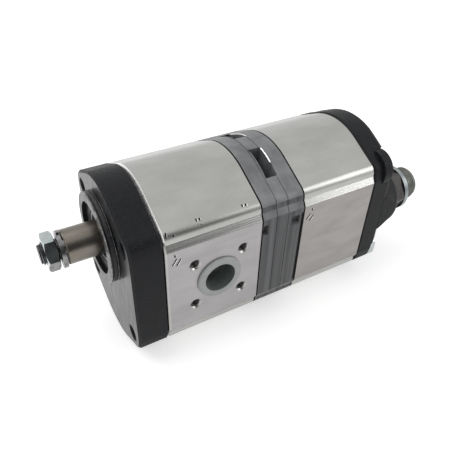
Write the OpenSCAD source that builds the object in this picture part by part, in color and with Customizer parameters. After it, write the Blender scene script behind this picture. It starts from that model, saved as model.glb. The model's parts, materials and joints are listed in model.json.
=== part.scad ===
// Tandem external gear pump: two gear stages in line, each in its own aluminium body.
// A vented die-cast flange stands between the stages and a disc coupling joins their shafts in it.
// Frame: +X runs along the drive shaft from the mounting flange to the outlet and +Z is up.
// The origin lies on the drive shaft's axis, in the mounting face of the front cover.

/* [Stages along the shaft] */
// Thickness of the front cover
front_cover_length = 17.5; // [15:0.5:24]
// Length of the front gear body
front_body_length = 55.9; // [52:0.1:75]
// Length of the vented flange between the stages
middle_length = 26; // [25:0.5:32]
// Length of the rear gear body
rear_body_length = 51.2; // [46:0.1:70]
// Thickness of the rear cover's plate
rear_cover_length = 14.4; // [12:0.2:20]

/* [Housing outline] */
// Side wall between the bolt pattern and each flat port face
side_wall = 10.4; // [9.6:0.1:14]
// Wall over each gear bore at the crown
crown_wall = 13.3; // [12:0.1:16]
// Radius of the crowned top and bottom
crown_radius = 39; // [36:0.5:44]
// Radius of the rounded shoulder over each bolt
shoulder_radius = 6; // [5:0.1:7]
// Radius of the softer shoulder of the cast covers
cover_shoulder_radius = 8; // [7:0.1:9]
// Crown of the cast covers over the crown of the gear bodies
cover_crown_rise = 0.4; // [0.2:0.1:0.8]
// Step of the cast covers behind the port faces
cover_side_step = 0.5; // [0.3:0.1:1]
// Distance of the shoulder's centre from the bolt, outwards
shoulder_out = 2.5; // [1.5:0.1:3]
// Distance of the shoulder's centre from the bolt, towards the crown
shoulder_up = 2.05; // [1:0.05:3]
// Drop from the bolt to the sharp edge of the port face
edge_drop = 2.55; // [2:0.05:5]
// Chamfer on the ends of the gear bodies
body_chamfer = 0.9; // [0.4:0.1:1.5]
// Chamfer on the cast covers
cover_chamfer = 1.2; // [0.5:0.1:2]

/* [Gears] */
// Distance between the drive shaft and the driven shaft
centre_distance = 34.5; // [34:0.1:35.5]
// Number of teeth on each gear
teeth = 12; // [12:1:12]
// Pressure angle in mesh
mesh_angle = 26; // [24:0.5:27]
// Height of a tooth above the pitch circle
addendum = 2.75; // [2.4:0.05:2.9]
// Gap between a tooth's tip and the other gear's root
root_gap = 0.5; // [0.3:0.05:0.8]
// Thinning of each tooth that leaves the backlash
tooth_thinning = 0.1; // [0.06:0.01:0.16]
// Gap between tooth tips and the gear bore
tip_gap = 0.05; // [0.03:0.01:0.1]
// Length of each bearing block
block_length = 14; // [12:0.5:16]
// Gap between gear faces and bearing blocks
face_gap = 0.06; // [0.04:0.01:0.1]
// Radius of the journals
journal_radius = 9; // [8.5:0.1:9.3]
// Wall of the bearing bushes
bush_wall = 1.5; // [1:0.1:2]
// Gap between a journal and its bush
journal_gap = 0.03; // [0.02:0.01:0.08]

/* [Mounting flange and shaft end] */
// Spacing of the square bolt pattern
bolt_spacing = 60; // [58:0.5:62]
// Nominal diameter of the through bolts
bolt_diameter = 10; // [8:1:10]
// Core radius of the tapped flange holes
bolt_core_radius = 4.25; // [4:0.05:4.3]
// Width across flats of the bolt heads
bolt_head_width = 16; // [15:0.5:17]
// Height of the bolt heads
bolt_head_height = 6.4; // [5:0.1:7]
// Radius of the pilot
pilot_radius = 25; // [24:0.1:28]
// Height of the pilot
pilot_height = 5; // [4.8:0.1:6]
// Wall of the pilot round its turned recess
pilot_wall = 5.2; // [4:0.1:7]
// Depth of the turned recess in the pilot
recess_depth = 2.4; // [1.5:0.1:3]
// Width of the pilot's ring groove
pilot_groove_width = 2.6; // [2:0.1:2.8]
// Outer radius of the shaft seals
seal_radius = 14; // [13:0.1:15]
// Width of the drive shaft seal
drive_seal_width = 7; // [5:0.5:8]
// Large radius of the tapered shaft end
taper_radius = 8.5; // [8.2:0.1:8.8]
// Length of the tapered shaft end
taper_length = 20; // [18:0.5:22]
// Radius that a taper loses over its length, as a share
taper_share = 0.1; // [0.08:0.01:0.12]
// Nominal diameter of the shaft thread
shaft_thread_diameter = 12; // [10:0.5:12.5]
// Length of the shaft thread
shaft_thread_length = 13; // [12.5:0.5:16]
// Width across flats of the shaft nut
nut_width = 18; // [17:0.5:20]
// Height of the shaft nut
nut_height = 6; // [5:0.5:8]
// Outer radius of the spring washer
washer_radius = 10; // [9:0.1:10.5]
// Thickness of the spring washer
washer_thickness = 2.2; // [2:0.1:2.4]
// Outer radius of the transport sleeve over the taper
sleeve_radius = 9.4; // [9.3:0.05:9.8]
// Diameter of the round key
key_diameter = 13; // [12:0.5:14]
// Height of the round key
key_height = 5; // [4.5:0.1:5.5]
// Width of the round key
key_width = 3; // [2.5:0.5:4]

/* [Ports] */
// Radius of the front outlet bore
outlet_radius = 10; // [9:0.1:10.5]
// Spacing of the front outlet's square bolt pattern
outlet_spacing = 28.28; // [27:0.02:29]
// Core radius of the outlet bolts' tapped holes
outlet_core_radius = 2.5; // [2:0.1:2.6]
// Radius of the front inlet bore
front_inlet_radius = 13; // [12:0.1:13.4]
// Spacing of the front inlet's square bolt pattern
front_inlet_spacing = 38.9; // [38:0.1:39.5]
// Core radius of the front inlet bolts' tapped holes
front_inlet_core_radius = 3.4; // [3:0.1:3.5]
// Radius of the rear inlet bore
rear_inlet_radius = 10; // [9:0.1:10.5]
// Spacing of the rear inlet's square bolt pattern
rear_inlet_spacing = 28.28; // [27:0.02:29]
// Depth of the tapped port holes
port_hole_depth = 13; // [10:0.5:14]
// Length of a transport plug in its bore
plug_length = 12; // [9:0.5:14]
// Radius that a plug's collar stands out past its bore
plug_collar = 3; // [2:0.1:3.5]
// Thickness of a plug's collar
plug_collar_height = 1.2; // [1:0.1:2]
// Wall of a transport plug
plug_wall = 1; // [0.8:0.1:1.4]

/* [Rear cover and outlet fitting] */
// Distance of the outlet fitting's axis from the shafts' plane
fitting_offset = 20; // [18:0.5:21]
// Radius of the outlet boss where it leaves the plate
boss_radius = 23; // [21:0.1:24]
// Radius of the boss below its rounded edge
boss_shoulder_radius = 20; // [19:0.1:20.5]
// Radius of the boss's rounded edge
boss_edge_radius = 5; // [3:0.1:6]
// Height of the boss over the plate
boss_height = 14.8; // [13:0.1:20]
// Radius of the pad that is cleared round each bolt head
pad_radius = 11.5; // [10:0.1:12]
// Depth of the two upper pads
upper_pad_depth = 6.4; // [4:0.1:8]
// Depth of the two lower pads
lower_pad_depth = 2.8; // [2.6:0.1:6]
// Radius of the fitting's stud
stud_radius = 9; // [8:0.1:9.5]
// Length of the fitting's stud
stud_length = 14; // [12:0.5:14.5]
// Width across flats of the fitting
fitting_width = 27; // [25:0.5:29]
// Turn of the fitting's hexagon about its axis
fitting_turn = 26; // [0:1:59]
// Length of the fitting's hexagon
fitting_hex_length = 9.4; // [7:0.1:12]
// Radius of the fitting's round collar
fitting_collar_radius = 14.8; // [14:0.1:15]
// Length of the fitting's round collar
fitting_collar_length = 3.4; // [2:0.1:5]
// Radius of the fitting's free thread
fitting_thread_radius = 10.8; // [10:0.1:12]
// Length of the fitting's free thread
fitting_thread_length = 11.3; // [8:0.1:14]
// Radius of the passage through the fitting
fitting_bore_radius = 5; // [4:0.1:6]

/* [Vented middle flange] */
// Length of the windows along the shaft
window_length = 6.1; // [5:0.1:8]
// Shift of the windows from the flange's middle towards the rear
window_shift = 0.9; // [0:0.1:1.5]
// Half the width of the web between two windows, as an angle about the crown's centre
web_angle = 10.3; // [8:0.1:14]
// Angle about the crown's centre at which each window ends
window_angle = 42.5; // [38:0.5:44]
// Radius of the chamber round the coupling
chamber_radius = 17; // [16.5:0.1:18]
// Length of the chamber round the coupling
chamber_length = 12; // [11:0.5:13]
// Gap that lets the coupling disc in through a seal bore
coupling_clearance = 1; // [0.5:0.1:2]
// Width of the driving tongues
tongue_width = 8; // [7:0.1:9]

/* [Hidden] */
$fn = 64;

// Colours of the finishes
BLACK_PAINT = [0.13, 0.14, 0.15];
BRUSHED = [0.74, 0.74, 0.73];
CAST_GREY = [0.42, 0.43, 0.44];
STEEL = [0.62, 0.63, 0.65];
ZINC = [0.72, 0.75, 0.74];
RUBBER = [0.07, 0.07, 0.08];
SLEEVE_BROWN = [0.30, 0.26, 0.23];
PLUG_GREEN = [0.50, 0.55, 0.52];
BRONZE = [0.66, 0.50, 0.30];

// Small shared gaps and overruns
overrun = 1;
seat_gap = 0.03;
slide_gap = 0.1;
edge_break = 0.5;
hole_chamfer = 0.6;

// Places along the shaft
front_body_x = front_cover_length;
middle_x = front_body_x + front_body_length;
rear_body_x = middle_x + middle_length;
rear_cover_x = rear_body_x + rear_body_length;
rear_face_x = rear_cover_x + rear_cover_length;
boss_face_x = rear_face_x + boss_height;

// Gear sizes
pitch_radius = centre_distance / 2;
base_radius = pitch_radius * cos(mesh_angle);
tip_radius = pitch_radius + addendum;
root_radius = centre_distance - tip_radius - root_gap;
tooth_width = PI * pitch_radius / teeth - tooth_thinning;
gear_bore_radius = tip_radius + tip_gap;
flank_steps = 8;

// Outline of the housing, in the plane across the shafts
middle_z = -centre_distance / 2;
bolt_y = bolt_spacing / 2;
bolt_z = middle_z + bolt_spacing / 2;
half_width = bolt_y + side_wall;
crown_z = gear_bore_radius + crown_wall - crown_radius;
shoulder_y = bolt_y + shoulder_out;
shoulder_z = bolt_z + shoulder_up;
edge_z = bolt_z - edge_drop;
crease_angle = -9;
soft_angle = 19;
crown_steps = 14;
shoulder_steps = 7;
bolt_hole_gap = 0.3;
bolt_engagement = 7.5;
bolt_hole_radius = bolt_diameter / 2 + bolt_hole_gap;

// Ring seals in the joint faces
seal_ring_width = 1.9;
seal_ring_depth = 1.6;
seal_ring_land = 3.5;
seal_ring_inner = gear_bore_radius + seal_ring_land;
seal_ring_steps = 24;

// Dowels in the joint faces
dowel_radius = 2.5;
dowel_length = 10;
dowel_out = 3.75;
dowel_y = bolt_y + dowel_out;
dowel_rise = centre_distance / 3;

// Bearing blocks
block_radius = gear_bore_radius - seat_gap;
bush_radius = journal_radius + journal_gap + bush_wall;
axial_seal_overlap = 0.25;
axial_seal_inner = pitch_radius + axial_seal_overlap;
axial_seal_width = 1.2;
axial_seal_depth = 1.8;
backup_width = 0.7;
front_gear_x = front_body_x + block_length + face_gap;
front_gear_end_x = middle_x - block_length - face_gap;
rear_gear_x = rear_body_x + block_length + face_gap;
rear_gear_end_x = rear_cover_x - block_length - face_gap;
journal_end_gap = 1;

// Pilot and shaft end
recess_radius = pilot_radius - pilot_wall;
recess_x = recess_depth - pilot_height;
circlip_x = recess_x + edge_break + seat_gap;
circlip_thickness = 1.2;
circlip_groove = 0.7;
circlip_width = 2;
drive_seal_x = circlip_x + circlip_thickness + seat_gap;
taper_end_x = -taper_length - edge_break;
taper_start_x = taper_end_x + taper_length;
taper_end_radius = taper_radius - taper_share * taper_length;
thread_radius = shaft_thread_diameter / 2;
thread_end_x = taper_end_x - shaft_thread_length;
thread_chamfer = 0.9;
relief_length = 2;
relief_depth = 1;
sleeve_end_x = taper_end_x - edge_break;
sleeve_start_x = recess_x + edge_break;
sleeve_gap = 0.05;
washer_pitch = 0.9;
washer_gap = 0.5;
washer_inner = thread_radius + washer_gap;
washer_drop = washer_gap - seat_gap;
washer_start_x = sleeve_end_x - washer_pitch - washer_thickness;
washer_steps = 40;
washer_cut_angle = 12;
nut_slack = 1;
nut_turn = 26.5;
nut_start_x = washer_start_x - nut_slack - nut_height;
nut_chamfer_angle = 30;
key_x = (taper_start_x + taper_end_x) / 2;
key_top = sleeve_radius - edge_break;
shaft_passage_gap = 0.5;

// Middle flange
chamber_x = middle_x + (middle_length - chamber_length) / 2;
chamber_end_x = chamber_x + chamber_length;
window_x = middle_x + (middle_length - window_length) / 2 + window_shift;
window_floor_radius = crown_radius / 2;
window_ledge = 1.7;
window_ledge_depth = 1.2;
seal_setback = 1;
middle_seal_width = (middle_length - chamber_length) / 2 - seal_setback;
coupling_radius = seal_radius - coupling_clearance;
coupling_gap = 1;
tongue_length = 4;
coupling_x = chamber_x + coupling_gap;
coupling_end_x = chamber_end_x - coupling_gap;
notch_depth = 3;
front_notch = [3.5, 6.5];
rear_notch = [6.2, 6];
notch_drop = 6.9;
notch_z = edge_z - notch_drop;
groove_width = 1.5;
groove_depth = 1;
vent_half_width = 9;

// Ports
front_port_shift = 2;
front_port_x = (front_gear_x + front_gear_end_x) / 2 + front_port_shift;
front_inlet_x = (front_gear_x + front_gear_end_x) / 2;
rear_inlet_x = (rear_gear_x + rear_gear_end_x) / 2;
chamber_waist = sqrt(gear_bore_radius * gear_bore_radius - pitch_radius * pitch_radius);
passage_radius = 4;
passage_wall = 1.5;
passage_reach = gear_bore_radius + passage_radius + passage_wall;
passage_y = -sqrt(passage_reach * passage_reach - pitch_radius * pitch_radius);

// Rear cover and fitting
pad_depths = [upper_pad_depth, lower_pad_depth];
boss_face_radius = boss_shoulder_radius - boss_edge_radius;
boss_root = 2;
boss_steps = 8;
fitting_seal_thickness = 1.5;
fitting_x = boss_face_x;
stud_hole_x = fitting_x - stud_length - passage_radius;
hex_end_x = fitting_x + fitting_hex_length;
collar_end_x = hex_end_x + fitting_collar_length;
fitting_end_x = collar_end_x + fitting_thread_length;
fitting_core_radius = fitting_width / 2 - edge_break;
cone_depth = 4;

// A cylinder, or a cone, that lies along the shaft from x0 to x1
module bar(x0, x1, radius, y = 0, z = 0, end_radius = -1) {
    translate([x0, y, z])
        rotate([0, 90, 0])
            cylinder(h = x1 - x0, r1 = radius, r2 = end_radius < 0 ? radius : end_radius);
}

// A cylinder that lies across the shaft from y0 to y1
module cross_bar(y0, y1, radius, x, z, end_radius = -1) {
    translate([x, y0, z])
        rotate([-90, 0, 0])
            cylinder(h = y1 - y0, r1 = radius, r2 = end_radius < 0 ? radius : end_radius);
}

// A flat shape drawn across the shafts, thickened along the shaft from x0 to x1
module slab(x0, x1) {
    translate([x0, 0, 0])
        rotate([90, 0, 90])
            linear_extrude(height = x1 - x0)
                children();
}

// A round bar with broken edges, turned about the shaft's direction
module turned(points, y = 0, z = 0) {
    translate([0, y, z])
        rotate([0, 90, 0])
            rotate_extrude($fn = 96)
                polygon(points);
}

// A hexagon prism along the shaft with the corners turned off at both ends
module hex_bar(x0, x1, width, angle, y = 0, z = 0) {
    corner = width / sqrt(3);
    fall = (corner - width / 2) * tan(nut_chamfer_angle);
    intersection() {
        translate([x0, y, z])
            rotate([0, 90, 0])
                rotate([0, 0, angle])
                    cylinder(h = x1 - x0, r = corner, $fn = 6);
        turned([[0, x0], [width / 2, x0], [corner, x0 + fall], [corner, x1 - fall],
            [width / 2, x1], [0, x1]], y, z);
    }
}

function arc(centre, radius, from, to, steps) =
    [for (i = [0:steps])
        let (a = from + (to - from) * i / steps)
        [centre[0] + radius * cos(a), centre[1] + radius * sin(a)]];

function without_last(list) = [for (i = [0:len(list) - 2]) list[i]];
function backwards(list) = [for (i = [len(list) - 1:-1:0]) list[i]];
function mirror_y(list) = [for (p = list) [-p[0], p[1]]];
function mirror_z(list) = [for (p = list) [p[0], 2 * middle_z - p[1]]];

// A form is [half width, height of the crown's centre, shoulder radius, lowest shoulder angle]
BODY_FORM = [half_width, crown_z, shoulder_radius, crease_angle];
COVER_FORM = [half_width - cover_side_step, crown_z + cover_crown_rise, cover_shoulder_radius,
    soft_angle];

// Centre of a form's shoulder; a larger radius draws it in along the diagonal
function shoulder_centre(form) =
    let (shift = (form[2] - shoulder_radius) / sqrt(2))
    [shoulder_y - shift, shoulder_z - shift];

// Direction of the straight flank that touches both the crown and the shoulder
function flank_angle(form) =
    let (c = shoulder_centre(form), dy = c[0], dz = c[1] - form[1])
    atan2(dz, dy) + acos((crown_radius - form[2]) / sqrt(dy * dy + dz * dz));

// The port face's sharp edge, placed so that an inset leaves every side of the outline parallel
function sharp_edge(form, inset) =
    let (c = shoulder_centre(form), u = [cos(form[3]), sin(form[3])],
        start = c + form[2] * u, drawn_in = c + (form[2] - inset) * u,
        slope = (edge_z - start[1]) / (form[0] - start[0]))
    [form[0] - inset, drawn_in[1] + (form[0] - inset - drawn_in[0]) * slope];

// One quarter of the outline, from the port face up to the crown, drawn in by an inset
function quarter(form, inset) =
    let (flank = flank_angle(form))
    concat([sharp_edge(form, inset)],
        arc(shoulder_centre(form), form[2] - inset, form[3], flank, shoulder_steps),
        arc([0, form[1]], crown_radius - inset, flank, 90, crown_steps));

function outline(form, inset) =
    let (q = quarter(form, inset))
    concat(q, mirror_y(backwards(without_last(q))), mirror_y(mirror_z(q)),
        mirror_z(backwards(without_last(q))));

// The outline of a form carried along the shaft through stations of [x, inset]
module housing(form, stations) {
    rings = [for (s = stations) outline(form, s[1])];
    count = len(rings[0]);
    last = len(stations) - 1;
    points = [for (k = [0:last]) for (p = rings[k]) [stations[k][0], p[0], p[1]]];
    sides = [for (k = [0:last - 1]) for (i = [0:count - 1])
        let (j = (i + 1) % count)
        [k * count + i, (k + 1) * count + i, (k + 1) * count + j, k * count + j]];
    polyhedron(points, concat(sides, [[for (i = [0:count - 1]) i]],
        [[for (i = [count - 1:-1:0]) last * count + i]]), convexity = 4);
}

// A plate or body of a form with both ends chamfered
module housing_block(form, x0, x1, chamfer) {
    housing(form, [[x0, chamfer], [x0 + chamfer, 0], [x1 - chamfer, 0], [x1, chamfer]]);
}

module two_circles(radius) {
    circle(r = radius);
    translate([0, -centre_distance])
        circle(r = radius);
}

// A long round-ended ring shape round both gear bores
function stadium(radius) =
    concat(arc([0, 0], radius, 0, 180, seal_ring_steps),
        arc([0, -centre_distance], radius, 180, 360, seal_ring_steps));

module ring_groove(x0, x1) {
    slab(x0, x1)
        difference() {
            polygon(stadium(seal_ring_inner + seal_ring_width));
            polygon(stadium(seal_ring_inner));
        }
}

// The square ring cord that lies in a joint face's groove
module seal_ring(x0, x1) {
    color(RUBBER)
        slab(x0, x1)
            difference() {
                polygon(stadium(seal_ring_inner + seal_ring_width - seat_gap));
                polygon(stadium(seal_ring_inner + seat_gap));
            }
}

module at_bolts() {
    for (y = [-bolt_y, bolt_y])
        for (z = [bolt_z, bolt_z - bolt_spacing])
            translate([0, y, z])
                children();
}

module bolt_holes(x0, x1, radius) {
    at_bolts()
        bar(x0, x1, radius);
}

module at_dowels() {
    for (side = [-1, 1])
        translate([0, side * dowel_y, middle_z - side * dowel_rise])
            children();
}

module dowel_holes(joint_x) {
    at_dowels()
        bar(joint_x - dowel_length / 2 - seat_gap, joint_x + dowel_length / 2 + seat_gap,
            dowel_radius + seat_gap);
}

module dowel_pair(joint_x) {
    half = dowel_length / 2;
    color(STEEL)
        at_dowels()
            turned([[0, joint_x - half], [dowel_radius - edge_break, joint_x - half],
                [dowel_radius, joint_x - half + edge_break],
                [dowel_radius, joint_x + half - edge_break],
                [dowel_radius - edge_break, joint_x + half], [0, joint_x + half]]);
}

// Four tapped holes in a port face; side is -1 for the near face and 1 for the far face
module port_bolt_holes(x, side, spacing, radius) {
    for (dx = [-spacing / 2, spacing / 2])
        for (dz = [-spacing / 2, spacing / 2])
            scale([1, side, 1])
                cross_bar(half_width - port_hole_depth, half_width + overrun, radius,
                    x + dx, middle_z + dz);
}

// A port bore from its face into the gear chamber
module port_bore(x, side, radius) {
    scale([1, side, 1]) {
        cross_bar(chamber_waist - overrun, half_width + overrun, radius, x, middle_z);
        cross_bar(half_width - hole_chamfer, half_width, radius, x, middle_z,
            radius + hole_chamfer);
    }
}

// Angle in degrees whose involute reaches from the base circle to a radius
function involute(radius) =
    let (a = acos(min(1, base_radius / radius)))
    tan(a) * 180 / PI - a;

// Half the angle that a tooth fills at a radius
function half_tooth(radius) =
    tooth_width / (2 * pitch_radius) * 180 / PI + involute(pitch_radius)
        - involute(max(radius, base_radius));

function polar(radius, angle) = [radius * cos(angle), radius * sin(angle)];

// One tooth centred on an angle, from its root on one side over the tip to the other
function tooth_points(angle) =
    let (rise = tip_radius - base_radius)
    concat([polar(root_radius, angle - half_tooth(base_radius))],
        [for (i = [0:flank_steps])
            let (r = base_radius + rise * i / flank_steps)
            polar(r, angle - half_tooth(r))],
        [for (i = [flank_steps:-1:0])
            let (r = base_radius + rise * i / flank_steps)
            polar(r, angle + half_tooth(r))],
        [polar(root_radius, angle + half_tooth(base_radius))]);

// A spur gear along the shaft; phase turns it to meet its partner
module gear(x0, x1, z, phase) {
    translate([0, 0, z])
        slab(x0, x1)
            polygon([for (i = [0:teeth - 1]) each tooth_points(360 * i / teeth + phase)]);
}

// A plain journal of a gear shaft with a broken edge at its free end
module journal(x0, x1, z) {
    turned([[0, x0], [journal_radius - edge_break, x0], [journal_radius, x0 + edge_break],
        [journal_radius, x1 - edge_break], [journal_radius - edge_break, x1], [0, x1]], 0, z);
}

module front_drive_gear() {
    shaft_x = taper_start_x + edge_break;
    color(STEEL)
        difference() {
            union() {
                gear(front_gear_x, front_gear_end_x, 0, 90);
                bar(shaft_x, front_gear_x + overrun, journal_radius);
                bar(taper_start_x, shaft_x, taper_radius);
                bar(taper_end_x, taper_start_x, taper_end_radius, 0, 0, taper_radius);
                bar(taper_end_x - relief_length, taper_end_x, thread_radius - relief_depth);
                bar(thread_end_x + thread_chamfer, taper_end_x - relief_length, thread_radius);
                bar(thread_end_x, thread_end_x + thread_chamfer, thread_radius - thread_chamfer,
                    0, 0, thread_radius);
                bar(front_gear_end_x - overrun, coupling_x - seat_gap, journal_radius);
                tongue(coupling_x - overrun, coupling_x + tongue_length - edge_break, 0);
            }
            key_solid(seat_gap);
        }
}

// The driving tongue on the end of a gear shaft
module tongue(x0, x1, angle) {
    intersection() {
        bar(x0, x1, journal_radius);
        rotate([angle, 0, 0])
            translate([x0, -tongue_width / 2, -journal_radius])
                cube([x1 - x0, tongue_width, 2 * journal_radius]);
    }
}

// The round key's disc with its top cut flat, grown by a gap for its seat
module key_solid(gap) {
    radius = key_diameter / 2;
    centre_z = key_top - key_height + radius;
    intersection() {
        cross_bar(-key_width / 2 - gap, key_width / 2 + gap, radius + gap, key_x, centre_z);
        translate([key_x - key_diameter, -key_width, 0])
            cube([2 * key_diameter, 2 * key_width, key_top + gap]);
    }
}

module woodruff_key() {
    color(STEEL)
        key_solid(0);
}

module shaft_sleeve() {
    slope = (taper_radius - taper_end_radius) / taper_length;
    start_bore = taper_end_radius + slope * (sleeve_start_x - taper_end_x) + sleeve_gap;
    color(SLEEVE_BROWN)
        difference() {
            turned([[0, sleeve_end_x], [sleeve_radius - edge_break, sleeve_end_x],
                [sleeve_radius, sleeve_end_x + edge_break], [sleeve_radius, sleeve_start_x],
                [0, sleeve_start_x]]);
            bar(sleeve_end_x - overrun, taper_end_x, taper_end_radius + sleeve_gap);
            bar(taper_end_x, sleeve_start_x + overrun, taper_end_radius + sleeve_gap, 0, 0,
                start_bore + slope * overrun);
            key_solid(sleeve_gap);
        }
}

// The spring washer is one turn of a square-section coil; it hangs loose on the thread
module spring_washer() {
    span = 360 - washer_cut_angle;
    rings = [for (i = [0:washer_steps])
        let (a = 90 + washer_cut_angle / 2 + span * i / washer_steps,
            x = washer_start_x + washer_pitch * i / washer_steps)
        [for (corner = [[0, washer_inner], [0, washer_radius],
                [washer_thickness, washer_radius], [washer_thickness, washer_inner]])
            [x + corner[0], corner[1] * cos(a), corner[1] * sin(a) - washer_drop]]];
    points = [for (r = rings) each r];
    faces = concat([[0, 1, 2, 3]],
        [for (k = [0:washer_steps - 1]) for (i = [0:3])
            let (j = (i + 1) % 4)
            [4 * k + i, 4 * (k + 1) + i, 4 * (k + 1) + j, 4 * k + j]],
        [[4 * washer_steps + 3, 4 * washer_steps + 2, 4 * washer_steps + 1, 4 * washer_steps]]);
    color(STEEL)
        polyhedron(points, faces, convexity = 4);
}

module shaft_nut() {
    color(ZINC)
        difference() {
            hex_bar(nut_start_x, nut_start_x + nut_height, nut_width, nut_turn);
            bar(nut_start_x - overrun, nut_start_x + nut_height + overrun,
                thread_radius + seat_gap);
        }
}

// The coupling disc takes a tongue from each shaft, in slots at right angles
module coupling_disc() {
    slot = tongue_width / 2 + seat_gap;
    color(STEEL)
        difference() {
            turned([[0, coupling_x], [coupling_radius - edge_break, coupling_x],
                [coupling_radius, coupling_x + edge_break],
                [coupling_radius, coupling_end_x - edge_break],
                [coupling_radius - edge_break, coupling_end_x], [0, coupling_end_x]]);
            translate([coupling_x - overrun, -slot, -coupling_radius - overrun])
                cube([tongue_length + overrun, 2 * slot, 2 * (coupling_radius + overrun)]);
            translate([coupling_end_x - tongue_length, -coupling_radius - overrun, -slot])
                cube([tongue_length + overrun, 2 * (coupling_radius + overrun), 2 * slot]);
        }
}

module rear_drive_gear() {
    color(STEEL) {
        gear(rear_gear_x, rear_gear_end_x, 0, 90);
        bar(coupling_end_x + seat_gap, rear_gear_x + overrun, journal_radius);
        tongue(coupling_end_x - tongue_length + edge_break, coupling_end_x + overrun, 90);
        journal(rear_gear_end_x - overrun, rear_cover_x - journal_end_gap, 0);
    }
}

// A driven gear with its two journals; half a tooth pitch puts a gap under the drive gear's tooth
module driven_gear(x0, x1, end0, end1) {
    color(STEEL) {
        gear(x0, x1, -centre_distance, 90 + 180 / teeth);
        journal(end0 + journal_end_gap, x0 + overrun, -centre_distance);
        journal(x1 - overrun, end1 - journal_end_gap, -centre_distance);
    }
}

module front_driven_gear() {
    driven_gear(front_gear_x, front_gear_end_x, front_body_x, middle_x);
}

module rear_driven_gear() {
    driven_gear(rear_gear_x, rear_gear_end_x, rear_body_x, rear_cover_x);
}

module front_cover() {
    groove_x = -pilot_height / 2 - pilot_groove_width / 2;
    socket_x = front_body_x - bolt_engagement;
    color(BLACK_PAINT)
        difference() {
            union() {
                housing_block(COVER_FORM, 0, front_cover_length, cover_chamfer);
                turned([[0, overrun], [pilot_radius, overrun],
                    [pilot_radius, edge_break - pilot_height],
                    [pilot_radius - edge_break, -pilot_height], [0, -pilot_height]]);
            }
            bar(-pilot_height - overrun, recess_x, recess_radius);
            bar(-pilot_height, drive_seal_x + drive_seal_width + seat_gap, seal_radius + seat_gap);
            bar(recess_x, recess_x + edge_break, seal_radius + edge_break, 0, 0, seal_radius);
            bar(circlip_x - seat_gap, circlip_x + circlip_thickness + seat_gap,
                seal_radius + circlip_groove);
            bar(0, front_cover_length + overrun, journal_radius + shaft_passage_gap);
            pilot_groove(groove_x);
            bolt_holes(-overrun, socket_x + overrun, bolt_core_radius);
            bolt_holes(socket_x, front_cover_length + overrun, bolt_diameter / 2 + seat_gap);
            dowel_holes(front_body_x);
            ring_groove(front_cover_length - seal_ring_depth, front_cover_length + overrun);
        }
}

// The groove for the pilot's ring
module pilot_groove(x0) {
    difference() {
        bar(x0, x0 + pilot_groove_width, pilot_radius + overrun);
        bar(x0 - overrun, x0 + pilot_groove_width + overrun,
            pilot_radius - pilot_groove_width * 3 / 4);
    }
}

module pilot_ring() {
    inner = pilot_radius - pilot_groove_width * 3 / 4 + seat_gap;
    outer = pilot_radius - seat_gap;
    half = pilot_groove_width / 2 - seat_gap;
    x = -pilot_height / 2;
    color(RUBBER)
        turned([[inner, x - half + edge_break], [inner + edge_break, x - half],
            [outer - edge_break, x - half], [outer, x - half + edge_break],
            [outer, x + half - edge_break], [outer - edge_break, x + half],
            [inner + edge_break, x + half], [inner, x + half - edge_break]]);
}

// A lip seal: an outer shell with a rubber lip that runs on the shaft
module lip_seal(x0, width, open_front) {
    lip = journal_radius + journal_gap;
    wall = (seal_radius - lip) / 3;
    open_x = open_front ? x0 - overrun : x0 + width / 3;
    color(RUBBER)
        difference() {
            turned([[lip, x0 + width / 3], [lip + edge_break, x0], [seal_radius - edge_break, x0],
                [seal_radius, x0 + edge_break], [seal_radius, x0 + width - edge_break],
                [seal_radius - edge_break, x0 + width], [lip + edge_break, x0 + width],
                [lip, x0 + width * 2 / 3]]);
            difference() {
                bar(open_x, open_x + width * 2 / 3 + overrun, seal_radius - wall);
                bar(open_x - overrun, open_x + width + overrun, lip + wall);
            }
        }
}

module shaft_seal() {
    lip_seal(drive_seal_x, drive_seal_width, false);
}

// The circlip is a spring ring with a gap and two eyes
module seal_circlip() {
    outer = seal_radius + circlip_groove - seat_gap;
    inner = seal_radius - circlip_width;
    eye = circlip_width * 3 / 4;
    color(BLACK_PAINT)
        slab(circlip_x, circlip_x + circlip_thickness)
            difference() {
                union() {
                    difference() {
                        circle(r = outer);
                        circle(r = inner);
                        translate([-eye, 0])
                            square([2 * eye, 2 * outer]);
                    }
                    for (side = [-1, 1])
                        translate([side * 2 * eye, inner])
                            circle(r = eye);
                }
                for (side = [-1, 1])
                    translate([side * 2 * eye, inner])
                        circle(r = eye / 2);
            }
}

module front_cover_seal_ring() {
    seal_ring(front_cover_length - seal_ring_depth + seat_gap, front_cover_length);
}

module front_cover_dowels() {
    dowel_pair(front_body_x);
}

// The two gear bores, the bolt holes and the dowel holes that both gear bodies have
module body_bores(x0, x1) {
    for (z = [0, -centre_distance])
        bar(x0 - overrun, x1 + overrun, gear_bore_radius, 0, z);
    bolt_holes(x0 - overrun, x1 + overrun, bolt_hole_radius);
    dowel_holes(x0);
    dowel_holes(x1);
}

module front_body() {
    color(BRUSHED)
        difference() {
            housing_block(BODY_FORM, front_body_x, middle_x, body_chamfer);
            body_bores(front_body_x, middle_x);
            port_bore(front_port_x, -1, outlet_radius);
            port_bolt_holes(front_port_x, -1, outlet_spacing, outlet_core_radius);
            port_bore(front_inlet_x, 1, front_inlet_radius);
            port_bolt_holes(front_inlet_x, 1, front_inlet_spacing, front_inlet_core_radius);
        }
}

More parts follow.
